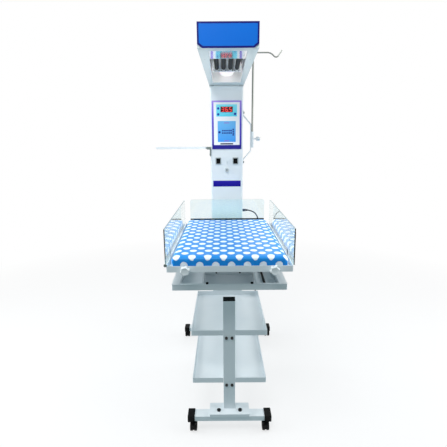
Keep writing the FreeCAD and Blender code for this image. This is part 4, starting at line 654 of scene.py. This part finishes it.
paint(made_of["window_plastic"], shaded_film("cyan_window_film", "#5FDCF6", "#8AEBFA", 1617, 1687, 0.2))
keypad_film = shaded_film("keypad_film", "#3F9DF2", "#74C2F6", 1468, 1591, 0.35)
paint(made_of["keypad_plastic"], keypad_film)
navy_film = shaded_film("navy_band_film", "#0C0088", "#14069A", 1194, 1231, 0.3)
mark_film = shaded_film("blue_key_film", "#0E1C78", "#1C3CB8", 1468, 1687, 0.35)
violet_film = shaded_film("violet_key_film", "#8F6FD0", "#A07FDA", 1468, 1591, 0.35)
lens_film = shaded_film("dark_red_lens", "#5A0A12", "#3A060C", 1641, 1675, 0.15)

lit_red, tree, place = open_material("red_led_segment")
patch = add_node(tree, "TexNoise", {"Vector": place, "Scale": per_metre(4), "Detail": 1.0})
tint = add_node(tree, "Mix", {0: patch.outputs[0], 6: linear("#F5202A"), 7: linear("#FF4A44")},
                data_type="RGBA")
close_material(tree, add_node(tree, "BsdfPrincipled", {
    "Base Color": tint.outputs[2], "Roughness": 0.4, "Emission Color": tint.outputs[2],
    "Emission Strength": 0.9}))
print("printed films done")

# %% [markdown]
# The mattress is foam in a wipe-clean coated cloth, bright blue with white dots 31 mm across. A plain box
# would look hard, so its skin is blown up a little as cloth: it crowns, and its sides pull in at the corners.

# %% Mattress shape
CLOTH_FRAMES = 20
CLOTH_TRAVEL = 5.0
CLOTH_PRESSURE = 4.0
ROOM_TO_SWELL = Vector((8, 8, 6))
EDGE_ROUNDING = 9.0
VOXEL = 6.0
low, high = (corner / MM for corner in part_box("mattress"))
bpy.ops.object.select_all(action="DESELECT")
bpy.ops.mesh.primitive_cube_add(size=1, location=(low + high) / 2 * MM,
                                scale=(high - low - ROOM_TO_SWELL) * MM)
mattress = bpy.context.object
mattress.name = "mattress_cover"
bpy.ops.object.transform_apply(location=True, rotation=True, scale=True)
bpy.ops.object.mode_set(mode="EDIT")
bpy.ops.mesh.select_all(action="SELECT")
bpy.ops.mesh.bevel(offset=EDGE_ROUNDING * MM, segments=3, affect="EDGES")
bpy.ops.object.mode_set(mode="OBJECT")
remesh = mattress.modifiers.new("even_cloth", "REMESH")
remesh.mode = "VOXEL"
remesh.voxel_size = VOXEL * MM
bpy.ops.object.modifier_apply(modifier=remesh.name)
before = [v.co.copy() for v in mattress.data.vertices]
cloth = mattress.modifiers.new("pressure", "CLOTH")
cloth.settings.quality = 5
cloth.settings.use_pressure = True
cloth.settings.uniform_pressure_force = CLOTH_PRESSURE
cloth.settings.effector_weights.gravity = 0.0
for step in range(1, CLOTH_FRAMES + 1):
    scene.frame_set(step)
bpy.ops.object.modifier_apply(modifier=cloth.name)
scene.frame_set(1)
for vertex, start in zip(mattress.data.vertices, before):
    moved = vertex.co - start
    if moved.length > CLOTH_TRAVEL * MM:
        vertex.co = start + moved * (CLOTH_TRAVEL * MM / moved.length)
print("mattress has", len(mattress.data.vertices), "points")

# %% [markdown]
# The dots are printed on flat cloth before it is sewn. So each point gets the
# place that it had on the flat sheet: a point on top keeps its own, and one
# on a side moves out as far as it lies below the top. The UV map holds it.

# %% Mattress cloth coordinates
SEAM = 14
left, right_side = low.x + SEAM, high.x - SEAM
front, back = low.y + SEAM, high.y - SEAM
roll = mattress.data.uv_layers.new(name="unrolled_cloth")
unrolled = []
for vertex in mattress.data.vertices:
    spot = vertex.co / MM
    down = max(0.0, high.z - SEAM - spot.z)
    inside = Vector((min(max(spot.x, left), right_side), min(max(spot.y, front), back)))
    out = Vector((spot.x - inside.x, spot.y - inside.y))
    away = out.normalized() if out.length > 0.01 else Vector((0.0, 0.0))
    unrolled.append((inside + out + away * down) * MM)
for loop in mattress.data.loops:
    roll.data[loop.index].uv = unrolled[loop.vertex_index]
smooth = mattress.modifiers.new("finer", "SUBSURF")
smooth.levels = smooth.render_levels = 1
bpy.ops.object.modifier_apply(modifier=smooth.name)
bpy.ops.object.shade_smooth()
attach(mattress, "bassinet")
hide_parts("mattress")
print("cloth", round(right_side - left), "mm by", round(back - front), "mm between its seams")

# %% [markdown]
# The dots stand in staggered rows, so two grids half a step apart are laid
# over the cloth, and the nearer dot counts. A little noise on that distance
# keeps their edges from looking drawn, and a fine weave lies over all.

# %% Mattress cloth
DOT_ACROSS = 66.0
DOT_ROWS = 70.0
DOT_START = (54.4, -522.0)
DOT_RADIUS = 15.5
coated, tree, place = open_material("coated_cotton_with_dots")
flat = add_node(tree, "UVMap", {}, uv_map="unrolled_cloth")
wander = add_node(tree, "TexNoise", {"Vector": flat.outputs[0], "Scale": per_metre(9), "Detail": 1.0})
nearest = []
for offset in (0.0, 0.5):
    cells = add_node(tree, "Mapping", {
        "Vector": flat.outputs[0],
        "Location": (offset + 0.5 - DOT_START[0] / DOT_ACROSS, offset + 0.5 - DOT_START[1] / DOT_ROWS, 0),
        "Scale": (per_metre(DOT_ACROSS), per_metre(DOT_ROWS), 0)})
    cell = add_node(tree, "VectorMath", {0: cells.outputs[0]}, operation="FRACTION")
    middle = add_node(tree, "VectorMath", {0: cell.outputs[0], 1: (0.5, 0.5, 0.0)}, operation="SUBTRACT")
    reach = add_node(tree, "VectorMath", {0: middle.outputs[0], 1: (DOT_ACROSS, DOT_ROWS, 0.0)},
                     operation="MULTIPLY")
    nearest.append(add_node(tree, "VectorMath", {0: reach.outputs[0]}, operation="LENGTH"))
closest = add_node(tree, "Math", {0: nearest[0].outputs["Value"], 1: nearest[1].outputs["Value"]},
                   operation="MINIMUM")
wobble = add_node(tree, "MapRange", {"Value": wander.outputs[0], 3: -1.6, 4: 1.6})
closest = add_node(tree, "Math", {0: closest.outputs[0], 1: wobble.outputs[0]})
dot = add_node(tree, "MapRange", {"Value": closest.outputs[0], 1: DOT_RADIUS + 0.9, 2: DOT_RADIUS - 0.9})
drift = add_node(tree, "TexNoise", {"Vector": flat.outputs[0], "Scale": per_metre(80), "Detail": 2.0})
ground = add_node(tree, "Mix", {0: drift.outputs[0], 6: linear("#0C90E4"), 7: linear("#0680D4")},
                  data_type="RGBA")
print_colour = add_node(tree, "Mix", {0: dot.outputs[0], 6: ground.outputs[2], 7: linear("#F3F8FC")},
                        data_type="RGBA")
# The weave is 0.5 mm on real sheeting. It is drawn at 1.6 mm so that it shows.
threads = add_node(tree, "Mapping", {"Vector": flat.outputs[0], "Scale": (per_metre(1.6), per_metre(1.6), 0)})
warp = add_node(tree, "TexWave", {"Vector": threads.outputs[0], "Scale": 0.31}, bands_direction="X")
weft = add_node(tree, "TexWave", {"Vector": threads.outputs[0], "Scale": 0.31}, bands_direction="Y")
weave = add_node(tree, "Math", {0: warp.outputs[0], 1: weft.outputs[0]}, operation="MULTIPLY")
skin = add_node(tree, "Bump", {"Height": weave.outputs[0], "Strength": 0.4, "Distance": 0.12 * MM})
close_material(tree, add_node(tree, "BsdfPrincipled", {
    "Base Color": print_colour.outputs[2], "Roughness": 0.42, "Normal": skin.outputs[0],
    "Specular IOR Level": 0.3, "Coat Weight": 0.05, "Coat Roughness": 0.3}))
mattress.data.materials.append(coated)

# %% [markdown]
# Under the front of the hood a polished plate closes the trough ahead of the
# heater tubes. It hangs down a little to the rear, and seen from the bed's
# foot it mirrors the display. It is one thin sheet with a folded rear edge.

# %% Front deflector
deflector = start_box("front_deflector", (-79.6, 217, 1829.0), (79.6, 326, 1830.0))
pick_faces(deflector, lambda middle, normal: normal.y > 0.9)
bpy.ops.mesh.extrude_region_move(TRANSFORM_OT_translate={"value": (0, 3 * MM, 2 * MM)})
bpy.ops.mesh.extrude_region_move(TRANSFORM_OT_translate={"value": (0, 0.5 * MM, 5 * MM)})
bpy.ops.object.mode_set(mode="OBJECT")
tilt = Matrix.Rotation(math.radians(-2.0), 4, "X")
pivot = Matrix.Translation(point(0, 217, 1830.0))
deflector.data.transform(pivot @ tilt @ pivot.inverted())
mirror = bright_metal("mirror_polished_aluminium", "#F6F8FA", "#EEF1F4", 1.5, 0.1, 0)
finish_piece(deflector, "head", mirror, crease=5)

# %% [markdown]
# The hood is one folded sheet, and a round post stands inside each rear corner. It fills the seam between the
# folds, so the corner looks rounded and closed. The posts lie a hair inside the sheet's own rounding.

# %% Hood corner posts
posts = []
for x in (-89.5, 89.5):
    post = start_round("corner_post", (x, 938.5, 1862), 13.9, 130, (0, 0, 1), 64)
    sink(post, lambda middle, normal: abs(normal.z) > 0.9, 3, 1)
    round_off(post, 0.4)
    posts.append(post)
finish_piece(join_all("hood_corner_posts", posts), "head", gloss_coat)

# %% [markdown]
# Each quartz tube ends in a white steatite cap, stepped where the holder grips it.

# %% Heater end caps
cap = start_round("steatite_cap", (0, 0, 0), 13, 12, (0, 0, 1))
sink(cap, lambda middle, normal: abs(normal.z) > 0.9, 3.5, -3)
round_off(cap, 0.8)
spots = [((index * 36 - 54, y, 1846), (0, 1, 0)) for index in range(4) for y in (297, 603)]
caps = place_copies("heater_end_caps", cap, spots)
finish_piece(caps, "head", white_abs)

# %% [markdown]
# The readout is three red seven-segment figures behind a dark lens, with round keys beside it.
# One segment is modelled, a flat bar with pointed ends, and the figures are copies of it.

# %% Readout
DISPLAY_FACE = 801.5
lens = start_box("readout_lens", (-37, DISPLAY_FACE - 1.0, 1642), (37, DISPLAY_FACE + 0.2, 1674))
sink(lens, lambda middle, normal: normal.y < -0.9, 1.2, 0.4)
round_off(lens, 0.3)
finish_piece(lens, "stand", lens_film)

segment = start_box("segment", (-4.5, -1.4, -0.3), (4.5, 1.4, 0.3))
pick_faces(segment, lambda middle, normal: abs(normal.x) > 0.9)
bpy.ops.mesh.inset(thickness=0.1 * MM, depth=1.4 * MM)
bpy.ops.transform.resize(value=(1, 0.25, 0.8), center_override=point(0, 0, 0))
bpy.ops.object.mode_set(mode="OBJECT")
SEGMENTS = {"a": (0, 11.5, 0), "b": (6.2, 5.8, 1), "c": (6.2, -5.8, 1), "d": (0, -11.5, 0),
            "e": (-6.2, -5.8, 1), "f": (-6.2, 5.8, 1), "g": (0, 0, 0)}
FIGURES = {"3": "abgcd", "6": "afgedc", "5": "afgcd"}
upright_bar = segment.copy()
upright_bar.data = segment.data.copy()
scene.collection.objects.link(upright_bar)
home = Matrix.Translation(point(0, 0, 0))
upright_bar.data.transform(home @ Matrix.Rotation(math.radians(90), 4, "Z") @ home.inverted())
flat_spots, upright_spots = [], []
for x, figure in zip((-23, 0, 23), "365"):
    for letter in FIGURES[figure]:
        across, over, stands = SEGMENTS[letter]
        spot = ((x + across, DISPLAY_FACE - 0.75, 1658 + over), (0, -1, 0))
        (upright_spots if stands else flat_spots).append(spot)
decimal = start_round("decimal_point", (11.5, DISPLAY_FACE - 0.75, 1646.5), 1.5, 0.6, (0, -1, 0), 16)
round_off(decimal, 0.2)
figures = join_all("readout_figures", [place_copies("flat_bars", segment, flat_spots),
                                       place_copies("upright_bars", upright_bar, upright_spots), decimal])
finish_piece(figures, "stand", lit_red)

# %% [markdown]
# The keys are cushions pressed into the film: round ones beside the readout, and small and wide ones on the
# keypad. Each kind is modelled once, lying flat at the bed's zero point, and copied to its places.

# %% Keys
def film_key(name, half_width, half_height, rise):
    """A key in a membrane film: a low cushion with a rounded outline."""
    key = start_box(name, (-half_width, -half_height, -0.2), (half_width, half_height, rise / 2))
    sink(key, lambda middle, normal: normal.z > 0.9, 0.7, -rise / 2)
    round_off(key, rise * 0.3, 2)
    return key


toward_bed = (0, -1, 0)
round_key = start_round("round_key", (0, 0, 0.3), 7, 1.2)
sink(round_key, lambda middle, normal: normal.z > 0.9, 1.5, 0.3)
round_off(round_key, 0.25)
round_keys = place_copies("round_keys", round_key, [
    ((-51, DISPLAY_FACE, 1664), toward_bed), ((-51, DISPLAY_FACE, 1630), toward_bed),
    ((51, DISPLAY_FACE, 1632), toward_bed), ((-44, DISPLAY_FACE, 1526), toward_bed)])
finish_piece(round_keys, "stand", mark_film)

small_spots = [((x, DISPLAY_FACE, z), toward_bed) for x in (-24, -11, 2, 15, 27) for z in (1521, 1535)]
small_spots += [((40, DISPLAY_FACE, z), toward_bed) for z in (1510, 1520, 1531, 1542)]
small_keys = place_copies("small_keys", film_key("small_key", 4.8, 4.0, 0.8), small_spots)
finish_piece(small_keys, "stand", mark_film)
wide_spots = [((0, DISPLAY_FACE, 1475), toward_bed), ((0, DISPLAY_FACE, 1580), toward_bed)]
wide_keys = place_copies("wide_keys", film_key("wide_key", 16, 2.6, 0.5), wide_spots)
finish_piece(wide_keys, "stand", violet_film)

# %% [markdown]
# A narrow plate crosses the column below the switches. It is
# left bare: only its colour and bevelled edge are kept.

# %% Bare band
band = start_box("bare_band", (-86.5, 803.4, 1194), (86.5, 804.7, 1231))
sink(band, lambda middle, normal: normal.y < -0.9, 1.0, -0.2)
round_off(band, 0.3)
finish_piece(band, "stand", navy_film)

# %% [markdown]
# Covers and brackets are held by low pan-head screws of zinc-plated steel, 8 mm across, with a round recess.
# One screw is modelled and copied to every hole.

# %% Screws
def new_screw(radius, height=1.8):
    screw = start_round("screw", (0, 0, height / 2), radius, height, (0, 0, 1), 24)
    sink(screw, lambda middle, normal: normal.z > 0.9, radius * 0.55, 0.9)
    round_off(screw, radius * 0.14, 3)
    return screw


backward, to_right, to_left = (0, 1, 0), (1, 0, 0), (-1, 0, 0)
cover_spots = [((x, 945.9, z), backward) for x in (-90, 90) for z in (120, 450, 780, 1110, 1440, 1765)]
finish_piece(place_copies("cover_screws", new_screw(4), cover_spots), "stand", steel)
bracket_spots = [((-104.9, y, 1394), to_left) for y in (820, 866, 912)]
finish_piece(place_copies("bracket_screws", new_screw(4), bracket_spots), "stand", zinc)
strap_spots = [((103.9, 850, z), to_right) for z in (1344, 1643)]
finish_piece(place_copies("strap_bolts", new_screw(7, 6), strap_spots), "stand", grey_zinc)
hood_spots = [((side * x, y, z + 0.2), (0, 0, -1)) for side in (-1, 1)
              for x, y, z in ((103, 330, 1824.3), (101, 530, 1815.2), (94, 730, 1806.1))]
finish_piece(place_copies("hood_screws", new_screw(3.5), hood_spots), "head", zinc)
wall_spots = [((x, 210.1, 849), toward_bed) for x in (-60, 53)]
finish_piece(place_copies("recess_screws", new_screw(4), wall_spots), "stand", zinc)

# %% [markdown]
# The heater head draws cooling air through louvres in the column's back cover. A louvre is pressed out of the
# sheet: a low hood, open below. Each is a wedge with rounded ends, made once and copied.

# %% Louvres
louvre = start_box("louvre", (-34, -3.5, -0.3), (34, 3.5, 0.3))
pick_faces(louvre, lambda middle, normal: normal.z > 0.9)
bpy.ops.mesh.extrude_region_move(TRANSFORM_OT_translate={"value": (0, -1.6 * MM, 3.2 * MM)})
bpy.ops.transform.resize(value=(0.9, 0.35, 1), center_override=point(0, -2.2, 3.5))
bpy.ops.object.mode_set(mode="OBJECT")
round_off(louvre, 0.7, 2)
louvre_spots = [((0, 946.2, z), backward) for base in (1560, 240) for z in range(base, base + 126, 14)]
hood_louvre = louvre.copy()
hood_louvre.data = louvre.data.copy()
scene.collection.objects.link(hood_louvre)
finish_piece(place_copies("cover_louvres", louvre, louvre_spots), "stand", white_coat)
hood_louvre_spots = [((0, y, 1928.2), (0, 0, 1)) for y in range(740, 880, 14)]
hood_louvres = place_copies("hood_louvres", hood_louvre, hood_louvre_spots)
finish_piece(hood_louvres, "head", gloss_coat)

# %% [markdown]
# The bed is held by two white hand knobs with six lobes, which give fingers
# a grip. Each is a short bar with every second side pulled out, dished on
# top, and smoothed by subdivision, as the moulding's soft corners are.

# %% Lobed knobs
def lobed_knob(name, radius, length, stem_radius, stem_length):
    """A six-lobed hand knob standing on its stem, with the stem's foot at the bed's zero point."""
    knob = start_round(name, (0, 0, stem_length + length / 2), radius * 0.86, length, (0, 0, 1), 12)
    pick_faces(knob, lambda middle, normal: abs(normal.z) < 0.1
               and round(math.degrees(math.atan2(normal.y, normal.x)) / 30 - 0.5) % 2 == 0)
    bpy.ops.mesh.inset(thickness=0.6 * MM, depth=radius * 0.16 * MM)
    bpy.ops.object.mode_set(mode="OBJECT")
    sink(knob, lambda middle, normal: normal.z > 0.9 and middle.xy.length < 1, radius * 0.22, radius * 0.1)
    soft = knob.modifiers.new("soft_moulding", "SUBSURF")
    soft.levels = soft.render_levels = 2
    use_only(knob)
    bpy.ops.object.modifier_apply(modifier=soft.name)
    stem = start_round("stem", (0, 0, stem_length / 2 + 1), stem_radius, stem_length + 2, (0, 0, 1), 20)
    round_off(stem, 0.4)
    return join_all(name, [knob, stem])


for side, x in (("left", -183), ("right", 183)):
    low, high = (corner / MM - BED_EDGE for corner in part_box(side + "_bed_knob"))
    spot = (x, high.y, (low.z + high.z) / 2)
    knob = place_copies(side + "_lobed_knob", lobed_knob("lobes", 21, 24, 7, 10), [(spot, toward_bed)])
    finish_piece(knob, side + "_bed_knob", white_abs)
    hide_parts(side + "_bed_knob")
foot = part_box("pole_knob")[0] / MM - BED_EDGE
knob = place_copies("pole_lobed_knob", lobed_knob("lobes", 14, 26, 4, 13), [((foot.x, 850, 1487), to_right)])
finish_piece(knob, "pole_knob", white_abs)
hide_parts("pole_knob")

# %% [markdown]
# A thin black strip lies along the foot of the rear guard, just behind the mattress's rear edge. At the front
# corners are two small fittings: a turn latch on the tray at the left, and a
# thin black strip along the edge of the right guard.

# %% Guard fittings
strip = start_box("rear_guard_strip", (-232, 753.6, 966.5), (232, 757.05, 996.5))
pick_faces(strip, lambda middle, normal: normal.z > 0.9)
bpy.ops.mesh.extrude_region_move(TRANSFORM_OT_translate={"value": (0, 0, 1.5 * MM)})
bpy.ops.transform.resize(value=(0.995, 0.5, 1), center_override=point(0, 757, 998))
bpy.ops.object.mode_set(mode="OBJECT")
round_off(strip, 0.5)
finish_piece(strip, "bassinet", black_abs)

latch = start_round("corner_latch", (-264.5, -9.6, 968), 6.5, 5.6, (0, 1, 0), 24)
sink(latch, lambda middle, normal: normal.y < -0.9 and middle.z > 966, 2.2, 1.0)
round_off(latch, 0.6)
finish_piece(latch, "bassinet", grey_zinc)

edge_strip = start_box("right_edge_strip", (264.4, -5.8, 968), (266.8, -3.4, 1104))
pick_faces(edge_strip, lambda middle, normal: normal.z < -0.9)
bpy.ops.mesh.extrude_region_move(TRANSFORM_OT_translate={"value": (2 * MM, -1 * MM, -3 * MM)})
bpy.ops.object.mode_set(mode="OBJECT")
round_off(edge_strip, 0.5)
finish_piece(edge_strip, "right_panel", black_abs)

# %% [markdown]
# Each front castor has a foot brake: a black pedal hinged on the housing, with a raised pad for the shoe.

# %% Castor brakes
for side in ("front_left", "front_right"):
    low, high = (corner / MM - BED_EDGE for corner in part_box(side + "_caster_frame"))
    middle = (low.x + high.x) / 2
    pedal = start_box(side + "_brake_pedal", (middle - 9, low.y - 8, 46), (middle + 9, low.y + 16, 50))
    pick_faces(pedal, lambda middle, normal: normal.y < -0.9)
    bpy.ops.mesh.extrude_region_move(TRANSFORM_OT_translate={"value": (0, -8 * MM, -3 * MM)})
    bpy.ops.transform.resize(value=(0.8, 1, 0.7), center_override=point(middle, low.y - 16, 45))
    bpy.ops.object.mode_set(mode="OBJECT")
    sink(pedal, lambda middle, normal: normal.z > 0.8, 1.6, -0.8)
    round_off(pedal, 0.8)
    finish_piece(pedal, side + "_caster", black_abs)
